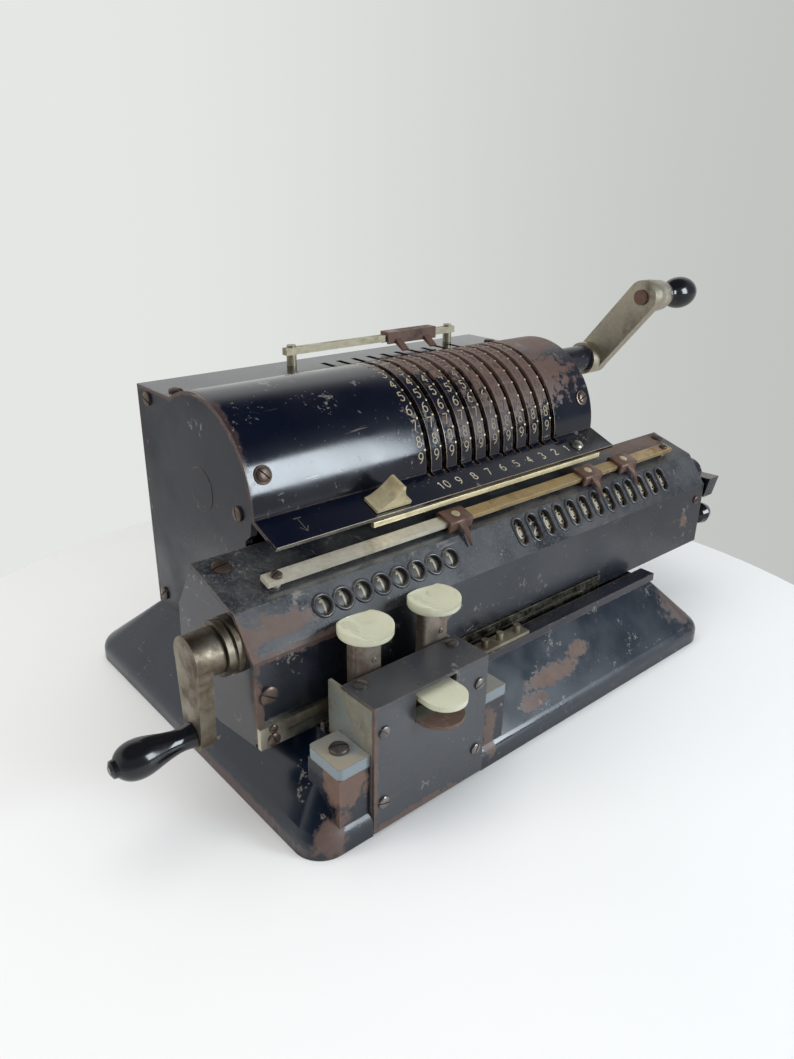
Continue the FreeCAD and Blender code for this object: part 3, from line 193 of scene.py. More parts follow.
def write_strokes(shell: Shell, strokes: Sequence, height: float, weight: float, lift: float,
                  place: Place, width: float = 1.0) -> None:
    """Lay strokes on a surface as thin raised bands with closed ends.

    Each stroke is a profile of four corners carried along its centre line: half the weight to each
    side, from just under the surface to the lift above it.

    Args:
        shell: Mesh in the making.
        strokes: Arcs and lines in a box one unit high.
        height: Height of the box in millimetres.
        weight: Width of a stroke.
        lift: Height of the paint above the surface.
        place: Turns (across, up, above) into points on the machine.
        width: Stretch across.
    """
    for stroke in strokes:
        path = stroke_points(stroke) * height * np.array([width, 1.0]) - np.array([0.0, height / 2])
        run = np.gradient(path, axis=0)
        run /= np.linalg.norm(run, axis=1, keepdims=True) + 1e-9
        side = np.stack([-run[:, 1], run[:, 0]], axis=-1) * weight / 2
        low, high = np.full(len(path), -0.05), np.full(len(path), lift)
        corners = ((path + side, low), (path + side, high), (path - side, high), (path - side, low))
        shell.tube(np.stack([place(line[:, 0], line[:, 1], above) for line, above in corners], axis=1))


def on_cylinder(x: float, angle: float, axis: Triple) -> Place:
    """Placing on a cylinder along X.

    Args:
        x: Middle of the figure along X.
        angle: Angle up from the front, in degrees.
        axis: The axis' Y and Z, and the radius.

    Returns:
        The placing.
    """
    y0, z0, radius = axis

    def place(across: Array, up: Array, above: Array) -> Array:
        """Point at (y0 - r cos a, z0 + r sin a) with a grown by up over the radius."""
        a = math.radians(angle) + up / radius
        r = radius + above
        return np.stack([x + across, y0 - r * np.cos(a), z0 + r * np.sin(a)], axis=-1)

    return place


def on_plane(x: float, foot: tuple[float, float], head: tuple[float, float], share: float) -> Place:
    """Placing on a flat face between two fold lines.

    Args:
        x: Middle of the figure along X.
        foot: Y and Z of the lower fold.
        head: Y and Z of the upper fold.
        share: Place between them, from 0 at the foot to 1 at the head.

    Returns:
        The placing.
    """
    f, h = np.array(foot), np.array(head)
    up_dir = unit(h - f)
    out = np.array([-up_dir[1], up_dir[0]])

    def place(across: Array, up: Array, above: Array) -> Array:
        """Point on the face at the share, moved along its slope and off it."""
        yz = f + (h - f) * share + np.outer(up, up_dir) + np.outer(above, out)
        return np.stack([x + across, yz[:, 0], yz[:, 1]], axis=-1)

    return place


def lathe(shell: Shell, profile: Sequence[tuple[float, float]], origin: Sequence[float],
          axis: Sequence[float], segments: int = 40) -> None:
    """Turn a profile about an axis, with its ends capped.

    Args:
        shell: Mesh in the making.
        profile: Stations as (distance along the axis, radius).
        origin: Where the distance is zero.
        axis: Direction of the axis.
        segments: Points round each station.
    """
    along, radius = (np.array(profile)[:, i, None, None] for i in (0, 1))
    a = np.linspace(0.0, 2 * math.pi, segments, endpoint=False)[None, :, None]
    axis = unit(axis)
    u = unit(np.cross(axis, UP if abs(axis[2]) < 0.9 else RIGHT))
    w = np.cross(axis, u)
    shell.tube(np.asarray(origin, float) + along * axis + radius * (np.cos(a) * u + np.sin(a) * w))


def slotted_head(shell: Shell, foot: Sequence[float], out: Sequence[float], radius: float, height: float,
                 turn: float, dome: float = 0.4, slot: float = 0.2) -> None:
    """Domed screw head with a driver slot.

    The top is height * (1 - dome * (rho / radius) ** 4) over a disc, sunk by most of the height inside
    the slot; the disc is a grid whose lines run along the slot, so the slot's walls are straight.

    Args:
        shell: Mesh in the making.
        foot: Centre of the seat.
        out: Direction of the head.
        radius: Radius of the head.
        height: Height of the head.
        turn: Angle of the slot in degrees.
        dome: How far the rim drops, as a share of the height.
        slot: Width of the slot as a share of the radius.
    """
    half = slot * radius / 2
    side = np.array([0.995, 0.97, 0.9, 0.75, 0.5, 0.28]) * radius
    u = np.concatenate([-side, [-half - 0.01, -half, 0.0, half, half + 0.01], side[::-1]])
    v = np.sin(np.linspace(-math.pi / 2, math.pi / 2, 15))
    x = np.repeat(u[:, None], len(v), axis=1)
    y = v[None, :] * np.sqrt(radius ** 2 - x ** 2)
    rho = np.sqrt(x ** 2 + y ** 2) / radius
    top = height * (1.0 - dome * rho ** 4)
    top = np.where(np.abs(x) <= half + 1e-6, top - height * 0.62, top)
    out = unit(out)
    a = unit(np.cross(out, UP if abs(out[2]) < 0.9 else (0, 1, 0)))
    b = np.cross(out, a)
    c, s = math.cos(math.radians(turn)), math.sin(math.radians(turn))
    lower = np.asarray(foot, float) + (c * x - s * y)[..., None] * a + (s * x + c * y)[..., None] * b
    upper = lower + top[..., None] * out
    rows, cols = x.shape
    grid = grid_faces(rows, cols)
    rim = np.concatenate([np.arange(cols), np.arange(1, rows) * cols + cols - 1,
                          (rows - 1) * cols + np.arange(cols - 1)[::-1], np.arange(1, rows - 1)[::-1] * cols])
    after = np.roll(rim, -1)
    n = rows * cols
    skirt = np.stack([rim, after, after + n, rim + n], axis=-1)
    shell.add(np.concatenate([upper.reshape(-1, 3), lower.reshape(-1, 3)]),
              np.concatenate([grid, grid[:, ::-1] + n, skirt]))


def rounded_loop(corners: Sequence[Triple], steps: int = 4) -> Array:
    """Closed outline whose corners are arcs.

    Args:
        corners: First and second coordinate of each corner, and the radius of its arc.
        steps: Points along each arc, less one.

    Returns:
        Points of the outline, one row each.
    """
    spots = np.array([c[:2] for c in corners], float)
    points = []
    beside = (np.roll(spots, 1, 0), np.roll(spots, -1, 0))
    for here, before, after, (_, _, radius) in zip(spots, *beside, corners):
        u, v = unit(before - here), unit(after - here)
        half = math.acos(np.clip(np.dot(u, v), -1.0, 1.0)) / 2
        start, end = here + u * radius / math.tan(half), here + v * radius / math.tan(half)
        middle = here + unit(u + v) * radius / math.sin(half)
        t = np.linspace(0.0, 1.0, steps + 1)[:, None]
        arc = (start - middle) * (1 - t) + (end - middle) * t
        points.append(middle + arc / np.linalg.norm(arc, axis=1, keepdims=True) * radius)
    return np.concatenate(points)


def extrude_x(shell: Shell, loop: Array, x0: float, x1: float, bevel: float = 0.0) -> None:
    """Carry a closed (y, z) outline along X, drawn in a little at both ends where a bevel is given.

    Args:
        shell: Mesh in the making.
        loop: Points of the outline.
        x0: Left end.
        x1: Right end.
        bevel: Length over which the ends are drawn in.
    """
    middle = loop.mean(axis=0)
    share = 1 - bevel / np.ptp(loop, axis=0).min()
    ends = ((x0, share), (x0 + bevel, 1.0), (x1 - bevel, 1.0), (x1, share))
    stations = ends if bevel else ((x0, 1.0), (x1, 1.0))
    rings = [np.column_stack([np.full(len(loop), x), middle + (loop - middle) * k]) for x, k in stations]
    shell.tube(np.array(rings))


# Writing of shader nodes

@dataclass
class Graph:
    """Writer for one node tree."""

    tree: Tree

    def node(self, kind: str, inputs: dict | None = None, **props) -> Node:
        """Add a node, with its properties set and its inputs set or linked.

        Args:
            kind: Blender's name for the node's type.
            inputs: Value or socket for each input, by name or number.
            props: Properties of the node.

        Returns:
            The node.
        """
        made = self.tree.nodes.new(kind)
        for key, value in props.items():
            setattr(made, key, value)
        for key, value in (inputs or {}).items():
            if isinstance(value, Socket):
                self.tree.links.new(value, made.inputs[key])
            else:
                made.inputs[key].default_value = value
        return made

    def math(self, operation: str, a: Socket | float, b: Socket | float = 0.0, clamp: bool = False) -> Socket:
        """Math node on two values."""
        return self.node("ShaderNodeMath", {0: a, 1: b}, operation=operation, use_clamp=clamp).outputs[0]

    def mix(self, share: Socket | float, a: Socket | tuple, b: Socket | tuple) -> Socket:
        """Colour between a and b."""
        return self.node("ShaderNodeMix", {0: share, 6: a, 7: b}, data_type="RGBA").outputs[2]

    def span(self, value: Socket, low: Socket | float, high: Socket | float, start: float = 0.0,
             end: float = 1.0) -> Socket:
        """Value carried smoothly from low..high to start..end."""
        return self.node("ShaderNodeMapRange", {0: value, 1: low, 2: high, 3: start, 4: end},
                         interpolation_type="SMOOTHSTEP").outputs[0]

    def coords(self) -> Socket:
        """Object coordinates."""
        return self.node("ShaderNodeTexCoord").outputs["Object"]

    def noise(self, scale: Socket | float, detail: float = 4.0, rough: float = 0.55,
              vector: Socket | None = None) -> Socket:
        """Noise value on object coordinates."""
        where = vector if vector is not None else self.coords()
        return self.node("ShaderNodeTexNoise", {"Vector": where, "Scale": scale, "Detail": detail,
                                                "Roughness": rough}).outputs["Fac"]


def make_group(name: str, inputs: dict[str, float | Triple], wire: Callable[[Graph, Node], Socket]) -> Tree:
    """Build a node group with one mask as its output.

    Args:
        name: Name of the group.
        inputs: Default of each input, by name.
        wire: Writes the inside, given the graph and the input node, and returns the mask.

    Returns:
        The group's tree.
    """
    tree = bpy.data.node_groups.new(name, "ShaderNodeTree")
    for label, value in inputs.items():
        kind = "NodeSocketVector" if isinstance(value, tuple) else "NodeSocketFloat"
        tree.interface.new_socket(name=label, in_out="INPUT", socket_type=kind).default_value = value
    tree.interface.new_socket(name="Mask", in_out="OUTPUT", socket_type="NodeSocketFloat")
    g = Graph(tree)
    mask = wire(g, g.node("NodeGroupInput"))
    g.node("NodeGroupOutput", {0: mask})
    return tree


class Effects:
    """Shared surface effects as node groups; each wire method writes the inside of one of them."""

    def __init__(self) -> None:
        """Build every group."""
        self.edge = make_group("edge_wear", {"Radius": 0.0012, "Breakup": 260.0, "Amount": 1.0},
                               self.wire_edge)
        self.chips = make_group("chips", {"Scale": 90.0, "Cover": 0.35}, self.wire_chips)
        self.scratches = make_group("scratches", {"Scale": 40.0, "Amount": 1.0}, self.wire_scratches)
        self.dust = make_group("dust", {"Scale": 60.0, "Amount": 0.5}, self.wire_dust)
        self.zone = make_group("zone", {"Centre": (0.0, 0.0, 0.0), "Reach": (1.0, 1.0, 1.0),
                                        "Breakup": 120.0}, self.wire_zone)

    @staticmethod
    def wire_edge(g: Graph, start: Node) -> Socket:
        """One minus the cosine between the surface normal and a rounded one, broken up by noise."""
        rounded = g.node("ShaderNodeBevel", {"Radius": start.outputs[0]}, samples=4).outputs[0]
        true = g.node("ShaderNodeNewGeometry").outputs["Normal"]
        dot = g.node("ShaderNodeVectorMath", {0: rounded, 1: true}, operation="DOT_PRODUCT").outputs["Value"]
        limit = g.span(g.noise(start.outputs[1], 5.0, 0.7), 0.3, 0.72, 0.01, 0.24)
        worn = g.span(g.math("SUBTRACT", 1.0, dot), limit, g.math("ADD", limit, 0.07))
        return g.math("MULTIPLY", worn, start.outputs[2], clamp=True)

    @staticmethod
    def wire_chips(g: Graph, start: Node) -> Socket:
        """Fine noise that passes a limit set by the cover."""
        coarse = g.noise(start.outputs[0], 6.0, 0.68)
        large = g.noise(g.math("MULTIPLY", start.outputs[0], 0.17), 2.0, 0.5)
        both = g.math("ADD", g.math("MULTIPLY", coarse, 0.6), g.math("MULTIPLY", large, 0.5))
        limit = g.math("SUBTRACT", 0.86, g.math("MULTIPLY", start.outputs[1], 0.4))
        return g.span(both, limit, g.math("ADD", limit, 0.02))

    @staticmethod
    def wire_scratches(g: Graph, start: Node) -> Socket:
        """Noise drawn out along two directions and cut to thin lines."""
        masks = []
        for turn, stretch in (((0.3, 0.2, 0.6), (1.0, 14.0, 9.0)), ((1.1, 0.5, 2.0), (12.0, 1.0, 10.0))):
            turned = g.node("ShaderNodeMapping", {"Vector": g.coords(), "Rotation": turn, "Scale": stretch})
            masks.append(g.span(g.noise(start.outputs[0], 2.0, 0.5, turned.outputs[0]), 0.7, 0.74))
        patch = g.span(g.noise(25.0, 2.0), 0.45, 0.65)
        lines = g.math("MULTIPLY", g.math("MAXIMUM", *masks), patch)
        return g.math("MULTIPLY", lines, start.outputs[1], clamp=True)

    @staticmethod
    def wire_dust(g: Graph, start: Node) -> Socket:
        """Share of the surface that faces up, broken up by two noises."""
        normal = g.node("ShaderNodeNewGeometry").outputs["Normal"]
        facing = g.span(g.node("ShaderNodeSeparateXYZ", {0: normal}).outputs[2], 0.1, 0.95)
        fine = g.span(g.noise(g.math("MULTIPLY", start.outputs[0], 14.0), 3.0, 0.7), 0.46, 0.7)
        large = g.span(g.noise(start.outputs[0], 3.0), 0.3, 0.75)
        cover = g.math("ADD", g.math("MULTIPLY", fine, 0.6), g.math("MULTIPLY", large, 0.6))
        return g.math("MULTIPLY", g.math("MULTIPLY", facing, cover), start.outputs[1], clamp=True)

    @staticmethod
    def wire_zone(g: Graph, start: Node) -> Socket:
        """Soft ellipsoid about a centre, its border shifted by noise."""
        away = g.node("ShaderNodeVectorMath", {0: g.coords(), 1: start.outputs[0]}, operation="SUBTRACT")
        scaled = g.node("ShaderNodeVectorMath", {0: away.outputs[0], 1: start.outputs[1]}, operation="DIVIDE")
        length = g.node("ShaderNodeVectorMath", {0: scaled.outputs[0]}, operation="LENGTH").outputs["Value"]
        shift = g.math("MULTIPLY", g.math("SUBTRACT", g.noise(start.outputs[2], 6.0, 0.65), 0.5), 2.6)
        return g.span(g.math("ADD", length, shift), 1.15, 0.75)

    def use(self, g: Graph, tree: Tree, **values) -> Socket:
        """Place a group in a material with its own values and return its mask."""
        return g.node("ShaderNodeGroup", values, node_tree=tree).outputs[0]


# Finishes

def rgba(colour: Triple, factor: float = 1.0) -> tuple[float, ...]:
    """Colour times a factor, no channel over one, with full alpha."""
    return tuple(min(1.0, c * factor) for c in colour) + (1.0,)


def start_material(name: str) -> tuple[Material, Graph, Node]:
    """New material with an empty Principled shader.

    Args:
        name: Name of the material.

    Returns:
        The material, its graph and the shader node.
    """
    material = bpy.data.materials.new(name)
    material.use_nodes = True
    material.node_tree.nodes.clear()
    g = Graph(material.node_tree)
    shader = g.node("ShaderNodeBsdfPrincipled")
    g.node("ShaderNodeOutputMaterial", {"Surface": shader.outputs[0]})
    return material, g, shader


def end_material(g: Graph, shader: Node, colour: Socket, rough: Socket, height: Socket, strength: float,
                 depth: float) -> None:
    """Join the worked-out surface to the shader.

    Args:
        g: The material's graph.
        shader: The shader node.
        colour: Base colour.
        rough: Roughness.
        height: Height of the bumps, from 0 to 1.
        strength: Strength of the bumps.
        depth: Depth of the bumps in metres.
    """
    bump = g.node("ShaderNodeBump", {"Height": height, "Strength": strength, "Distance": depth})
    for name, socket in (("Base Color", colour), ("Roughness", rough), ("Normal", bump.outputs[0])):
        g.tree.links.new(socket, shader.inputs[name])


@dataclass(frozen=True)
class Zone:
    """Part of a surface that is worn more: centre and reach in millimetres, and how far it is worn."""

    centre: Triple
    reach: Triple
    strength: float
    breakup: float


@dataclass(frozen=True)
class Enamel:
    """Baked enamel over brown primer, worn at the edges and in zones, scratched and dusty."""

    name: str
    paint: Triple = (0.0009, 0.0022, 0.0085)
    primer: Triple = (0.085, 0.050, 0.036)
    metal: Triple = (0.30, 0.27, 0.24)
    dirt: Triple = (0.20, 0.19, 0.17)
    zone_colour: Triple = (0.125, 0.072, 0.052)
    dirt_share: float = 0.55
    gloss: float = 0.16
    specular: float = 0.6
    edge: float = 0.0011
    wear: float = 1.0
    chips: float = 0.18
    specks: float = 0.47
    dust: float = 0.2
    zones: tuple[Zone, ...] = ()

    def build(self, fx: Effects) -> Material:
        """Write the material.

        Args:
            fx: The shared effects.

        Returns:
            The material.
        """
        material, g, shader = start_material(self.name)
        edge = fx.use(g, fx.edge, Radius=self.edge, Amount=self.wear)
        worn = g.math("MAXIMUM", edge, fx.use(g, fx.chips, Scale=95.0, Cover=self.chips))
        lines = g.math("MAXIMUM", fx.use(g, fx.scratches, Scale=34.0, Amount=0.75),
                       fx.use(g, fx.chips, Scale=430.0, Cover=self.specks))
        dust = fx.use(g, fx.dust, Amount=self.dust)
        paint = g.mix(g.noise(18.0, 3.0), rgba(self.paint, 0.7), rgba(self.paint, 1.5))
        primer = g.mix(g.noise(210.0, 4.0), rgba(self.primer, 0.55), rgba(self.primer, 1.6))
        colour = g.mix(worn, paint, primer)
        if self.zones:
            patches = self.patches(g, fx)
            patina = g.mix(g.noise(240.0, 5.0, 0.7), rgba(self.zone_colour, 0.6),
                           rgba(self.zone_colour, 1.45))
            colour = g.mix(patches, colour, patina)
            worn = g.math("MAXIMUM", worn, patches)
        bare = g.math("MULTIPLY", g.span(g.noise(330.0, 3.0), 0.56, 0.66), g.span(edge, 0.55, 1.0))
        colour = g.mix(bare, colour, rgba(self.metal))
        colour = g.mix(g.math("MULTIPLY", lines, 0.5), colour, rgba(self.metal, 0.8))
        colour = g.mix(g.math("MULTIPLY", dust, self.dirt_share), colour, rgba(self.dirt))
        rough = g.span(g.noise(26.0, 4.0), 0.3, 0.75, self.gloss * 0.75, self.gloss * 1.9)
        rough = g.math("ADD", rough, g.math("MULTIPLY", worn, 0.42))
        rough = g.math("ADD", rough, g.math("MULTIPLY", dust, 0.3), clamp=True)
        height = g.math("SUBTRACT", g.math("MULTIPLY", g.noise(90.0, 2.0), 0.12),
                        g.math("ADD", g.math("MULTIPLY", worn, 0.5), g.math("MULTIPLY", lines, 0.25)))
        end_material(g, shader, colour, rough, height, 0.32, 0.00012)
        g.tree.links.new(g.math("MULTIPLY", bare, 0.8), shader.inputs["Metallic"])
        shader.inputs["Specular IOR Level"].default_value = self.specular
        return material

    def patches(self, g: Graph, fx: Effects) -> Socket:
        """Mask of all the worn zones.

        Args:
            g: The material's graph.
            fx: The shared effects.

        Returns:
            The mask.
        """
        masks = [g.math("MULTIPLY", fx.use(g, fx.zone, Centre=tuple(c * MM for c in zone.centre),
                                           Reach=tuple(c * MM for c in zone.reach), Breakup=zone.breakup),
                        zone.strength) for zone in self.zones]
        mask = masks[0]
        for other in masks[1:]:
            mask = g.math("MAXIMUM", mask, other)
        return mask


@dataclass(frozen=True)
class Tone:
    """Second tone of a metal to the right of a place along X, in millimetres."""

    start: float
    bright: Triple
    tarnish: Triple


@dataclass(frozen=True)
class OldMetal:
    """Plated, brushed or rusted metal with tarnish, pits, grime and worn edges."""

    name: str
    bright: Triple
    tarnish: Triple
    rough: float = 0.34
    tarnish_cover: float = 0.5
    rust_cover: float = 0.12
    metallic: float = 1.0
    rust: Triple = (0.10, 0.045, 0.022)
    tone: Tone | None = None

    def build(self, fx: Effects) -> Material:
        """Write the material.

        Args:
            fx: The shared effects.

        Returns:
            The material.
        """
        material, g, shader = start_material(self.name)
        brush = g.noise(420.0, 3.0, 0.6)
        cover = self.tarnish_cover
        cloud = g.span(g.noise(70.0, 5.0, 0.65), 0.72 - 0.45 * cover, 0.82 - 0.25 * cover)
        colour = g.mix(cloud, rgba(self.bright), rgba(self.tarnish))
        if self.tone:
            along = g.math("ADD", g.node("ShaderNodeSeparateXYZ", {0: g.coords()}).outputs[0],
                           g.math("MULTIPLY", g.math("SUBTRACT", g.noise(130.0), 0.5), 0.03))
            share = g.span(along, (self.tone.start - 3) * MM, (self.tone.start + 3) * MM)
            second = g.mix(cloud, rgba(self.tone.bright), rgba(self.tone.tarnish))
            colour = g.mix(share, colour, second)
        colour = g.mix(g.span(brush, 0.35, 0.7, 0.0, 0.3), colour, rgba(self.bright, 0.6))
        pits = fx.use(g, fx.chips, Scale=240.0, Cover=self.rust_cover)
        colour = g.mix(pits, colour, rgba(self.rust))
        colour = g.mix(fx.use(g, fx.edge, Radius=0.0007, Amount=0.55), colour, rgba(self.bright, 1.25))
        lines = fx.use(g, fx.scratches, Scale=60.0, Amount=0.6)
        spread = g.span(g.noise(110.0, 4.0), 0.3, 0.7, self.rough * 0.7, self.rough * 1.4)
        dull = g.math("MULTIPLY", g.math("MAXIMUM", pits, g.math("MULTIPLY", cloud, 0.4)), 0.35)
        height = g.math("SUBTRACT", g.math("MULTIPLY", brush, 0.25),
                        g.math("ADD", g.math("MULTIPLY", pits, 0.7), g.math("MULTIPLY", lines, 0.4)))
        end_material(g, shader, colour, g.math("ADD", spread, dull, clamp=True), height, 0.3, 0.0001)
        metal = g.math("MULTIPLY", g.math("SUBTRACT", 1.0, g.math("MULTIPLY", pits, 0.8)), self.metallic)
        g.tree.links.new(metal, shader.inputs["Metallic"])
        return material


@dataclass(frozen=True)
class Moulded:
    """Celluloid, ebonite, rubber or paint in figures: one colour with grime, specks and soft wear."""

    name: str
    colour: Triple
    grime: Triple
    rough: float = 0.3
    grime_cover: float = 0.3
    speck: float = 0.1

    def build(self, fx: Effects) -> Material:
        """Write the material.

        Args:
            fx: The shared effects.

        Returns:
            The material.
        """
        material, g, shader = start_material(self.name)
        cover = self.grime_cover
        cloud = g.span(g.noise(160.0, 5.0, 0.7), 0.75 - 0.4 * cover, 0.9 - 0.2 * cover)
        base = g.mix(g.noise(45.0, 3.0), rgba(self.colour, 0.86), rgba(self.colour, 1.1))
        colour = g.mix(g.math("MULTIPLY", cloud, 0.75), base, rgba(self.grime))
        specks = fx.use(g, fx.chips, Scale=320.0, Cover=self.speck)
        colour = g.mix(specks, colour, rgba(self.grime, 0.5))
        lines = fx.use(g, fx.scratches, Scale=70.0, Amount=0.5)
        rough = g.math("ADD", g.span(g.noise(60.0, 3.0), 0.3, 0.7, self.rough * 0.7, self.rough * 1.4),
                       g.math("MULTIPLY", g.math("MAXIMUM", cloud, lines), 0.25), clamp=True)
        height = g.math("SUBTRACT", g.math("MULTIPLY", g.noise(130.0, 2.0), 0.2),
                        g.math("MULTIPLY", g.math("MAXIMUM", specks, lines), 0.5))
        end_material(g, shader, colour, rough, height, 0.25, 0.0001)
        return material


DRUM_ZONES = (
    Zone((40, 14, 148), (52, 27, 12), 0.92, 210.0), Zone((60, -12, 136), (38, 16, 20), 0.85, 240.0),
    Zone((92, 16, 148), (20, 26, 6), 0.9, 90.0), Zone((30, -22, 124), (36, 7, 14), 0.3, 300.0),
    Zone((-103, 10, 140), (3, 60, 30), 0.3, 200.0))
BASE_ZONES = (
    Zone((12, -86, 19), (17, 9, 3.2), 0.9, 260.0), Zone((34, -83, 23), (7, 6, 3), 0.85, 260.0),
    Zone((-6, -88, 14), (8, 6, 3), 0.8, 240.0), Zone((116, -80, 20), (14, 16, 13), 0.5, 150.0),
    Zone((-111, -90, 26), (9, 7, 9), 0.95, 150.0), Zone((-119, -93, 9), (7, 5, 12), 0.7, 170.0),
    Zone((-38, -94, 16), (4, 3, 14), 0.7, 170.0), Zone((-127, -40, 3), (3, 50, 3), 0.4, 230.0))
CARRIAGE_ZONES = (
    Zone((140, -31, 90), (30, 9, 4), 0.85, 150.0), Zone((-113, -56, 77), (14, 5, 4), 0.8, 150.0),
    Zone((-127, -56, 74), (3, 9, 10), 0.8, 160.0), Zone((-127, -61, 46), (2.5, 3, 22), 0.7, 160.0),
    Zone((150, -61, 51), (3.5, 2, 4.5), 0.8, 260.0), Zone((-104, -61, 69), (26, 2, 2), 0.6, 200.0))
BLOCK_ZONES = (
    Zone((-101, -95, 30), (2, 3, 30), 0.6, 200.0), Zone((-80, -95, 1), (24, 2, 3), 0.7, 200.0))
CASE_ZONES = (
    Zone((-71.5, -105, 42.8), (13, 10.5, 5), 1.0, 60.0), Zone((-101, -80, 20), (3, 9, 12), 0.4, 200.0))

FINISHES = (
    Enamel("japan_black"),
    Enamel("japan_cover", zones=DRUM_ZONES, gloss=0.11, chips=0.1, dust=0.03,
           zone_colour=(0.112, 0.064, 0.050)),
    Enamel("japan_base", paint=(0.0016, 0.0052, 0.0125), zones=BASE_ZONES, gloss=0.2, chips=0.3, dust=0.03),
    # Carriage enamel: its lighter paint and heavy dust are a grey dust film and also painted sheen, standing
    # for the window's broad reflection on the sloped faces.
    Enamel("japan_carriage", paint=(0.009, 0.011, 0.016), zones=CARRIAGE_ZONES, gloss=0.24, chips=0.12,
           dust=0.95, dirt=(0.15, 0.145, 0.135)),
    Enamel("japan_block", paint=(0.030, 0.032, 0.037), zones=BLOCK_ZONES, gloss=0.24, chips=0.1, dust=0.12),
    Enamel("japan_side", gloss=0.26, chips=0.08, dust=0.1),
    Enamel("grey_enamel", paint=(0.17, 0.205, 0.225), gloss=0.34, chips=0.3, wear=0.8, dust=2.3,
           dirt=(0.26, 0.225, 0.16), dirt_share=1.0),
    Enamel("case_enamel", paint=(0.12, 0.135, 0.125), gloss=0.4, chips=0.72, primer=(0.145, 0.138, 0.105),
           zones=CASE_ZONES),
    Enamel("drum_figure_paint", paint=(0.36, 0.30, 0.185), primer=(0.12, 0.085, 0.055), zones=DRUM_ZONES,
           zone_colour=(0.022, 0.013, 0.011), gloss=0.4, chips=0.5),
    OldMetal("old_nickel", (0.52, 0.48, 0.38), (0.30, 0.26, 0.19), 0.3),
    OldMetal("rail_metal", (0.44, 0.39, 0.28), (0.27, 0.22, 0.14), 0.42, metallic=0.8),
    OldMetal("strip_nickel", (0.60, 0.55, 0.44), (0.36, 0.30, 0.22), 0.38, rust_cover=0.2,
             tone=Tone(-62.0, (0.018, 0.016, 0.014), (0.012, 0.010, 0.009))),
    OldMetal("marker_bar_metal", (0.76, 0.70, 0.57), (0.56, 0.49, 0.36), 0.42, rust_cover=0.06, metallic=0.7,
             tone=Tone(-17.0, (0.46, 0.32, 0.135), (0.27, 0.135, 0.05))),
    OldMetal("worn_plating", (0.27, 0.235, 0.18), (0.135, 0.098, 0.068), 0.42, 0.65, 0.2),
    OldMetal("arm_nickel", (0.52, 0.47, 0.37), (0.33, 0.285, 0.21), 0.4, 0.45),
    OldMetal("aged_brass", (0.30, 0.265, 0.19), (0.14, 0.115, 0.08), 0.5, 0.75, 0.3, 0.7),
    OldMetal("pale_brass", (0.60, 0.52, 0.33), (0.40, 0.33, 0.19), 0.46, 0.45, 0.12, 0.62),
    OldMetal("plain_steel", (0.34, 0.32, 0.30), (0.17, 0.15, 0.13), 0.38),
    OldMetal("rusted_steel", (0.145, 0.082, 0.062), (0.07, 0.038, 0.029), 0.44, 0.55, 0.2, 0.35),
    OldMetal("screw_steel", (0.135, 0.10, 0.082), (0.065, 0.043, 0.034), 0.38, 0.5, 0.2, 0.75),
    OldMetal("grey_screw_steel", (0.20, 0.18, 0.17), (0.085, 0.07, 0.06), 0.36, 0.5, 0.15, 0.85),
    OldMetal("stem_steel", (0.27, 0.225, 0.185), (0.12, 0.078, 0.052), 0.4, 0.65, 0.2, 0.7),
    OldMetal("browned_steel", (0.10, 0.085, 0.075), (0.04, 0.03, 0.025), 0.42, 0.5, 0.3, 0.8),
    Moulded("ivory_celluloid", (0.52, 0.52, 0.39), (0.25, 0.245, 0.15), 0.28, 0.4),
    Moulded("figure_paint", (0.47, 0.42, 0.31), (0.13, 0.095, 0.065), 0.5, 0.7, 0.4),
    Moulded("wheel_black", (0.03, 0.028, 0.025), (0.10, 0.088, 0.065), 0.5),
    Moulded("wheel_grey", (0.085, 0.083, 0.076), (0.13, 0.12, 0.095), 0.5),
    Moulded("black_grip", (0.006, 0.006, 0.008), (0.05, 0.04, 0.03), 0.13, 0.1),
    Moulded("rubber", (0.02, 0.02, 0.02), (0.05, 0.05, 0.05), 0.7),
)
DRESS = {
    "japan_base": ("base_pan",),
    "japan_cover": ("main_cover",),
    "japan_carriage": ("carriage_cover",),
    "japan_block": ("key_block_plates",),
    "japan_side": ("left_side_plate", "right_side_plate", "rear_cover", "rotor_bushes"),
    "grey_enamel": ("frame_feet",),
    "case_enamel": ("key_block_case",),
    "japan_black": ("crank_sleeve", "result_wing", "left_end_plate", "right_end_plate", "frame_rails"),
    "rail_metal": ("rear_rail",),
    "strip_nickel": ("carriage_strip",),
    "marker_bar_metal": ("marker_bar",),
    "arm_nickel": ("crank_arm",),
    "worn_plating": ("clearing_crank", "clearing_bearing"),
    "aged_brass": ("stop_plate", "carry_gears"),
    "pale_brass": ("lock_bar",),
    "rusted_steel": ("rear_marker", "crank_stud", "carriage_marker_1", "carriage_marker_2",
                     "carriage_marker_3"),
    "browned_steel": ("bottom_plate", "cross_bar", "rotor_shaft", "carriage_shoe"),
    "wheel_black": ("result_wheels", "counter_wheels"),
    "black_grip": ("crank_knob", "clearing_handle", "end_knob"),
    "ivory_celluloid": ("front_key",),
    "rubber": ("rubber_pads",),
}


def dress_nodes(f: Finishes) -> None:
    """Give every CAD node its finish, and plain steel where none is named.

    Args:
        f: The finishes by name.
    """
    by_node = {node: name for name, nodes in DRESS.items() for node in nodes}
    for node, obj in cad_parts.items():
        obj.data.materials.clear()
        obj.data.materials.append(f[by_node.get(node, "plain_steel")])


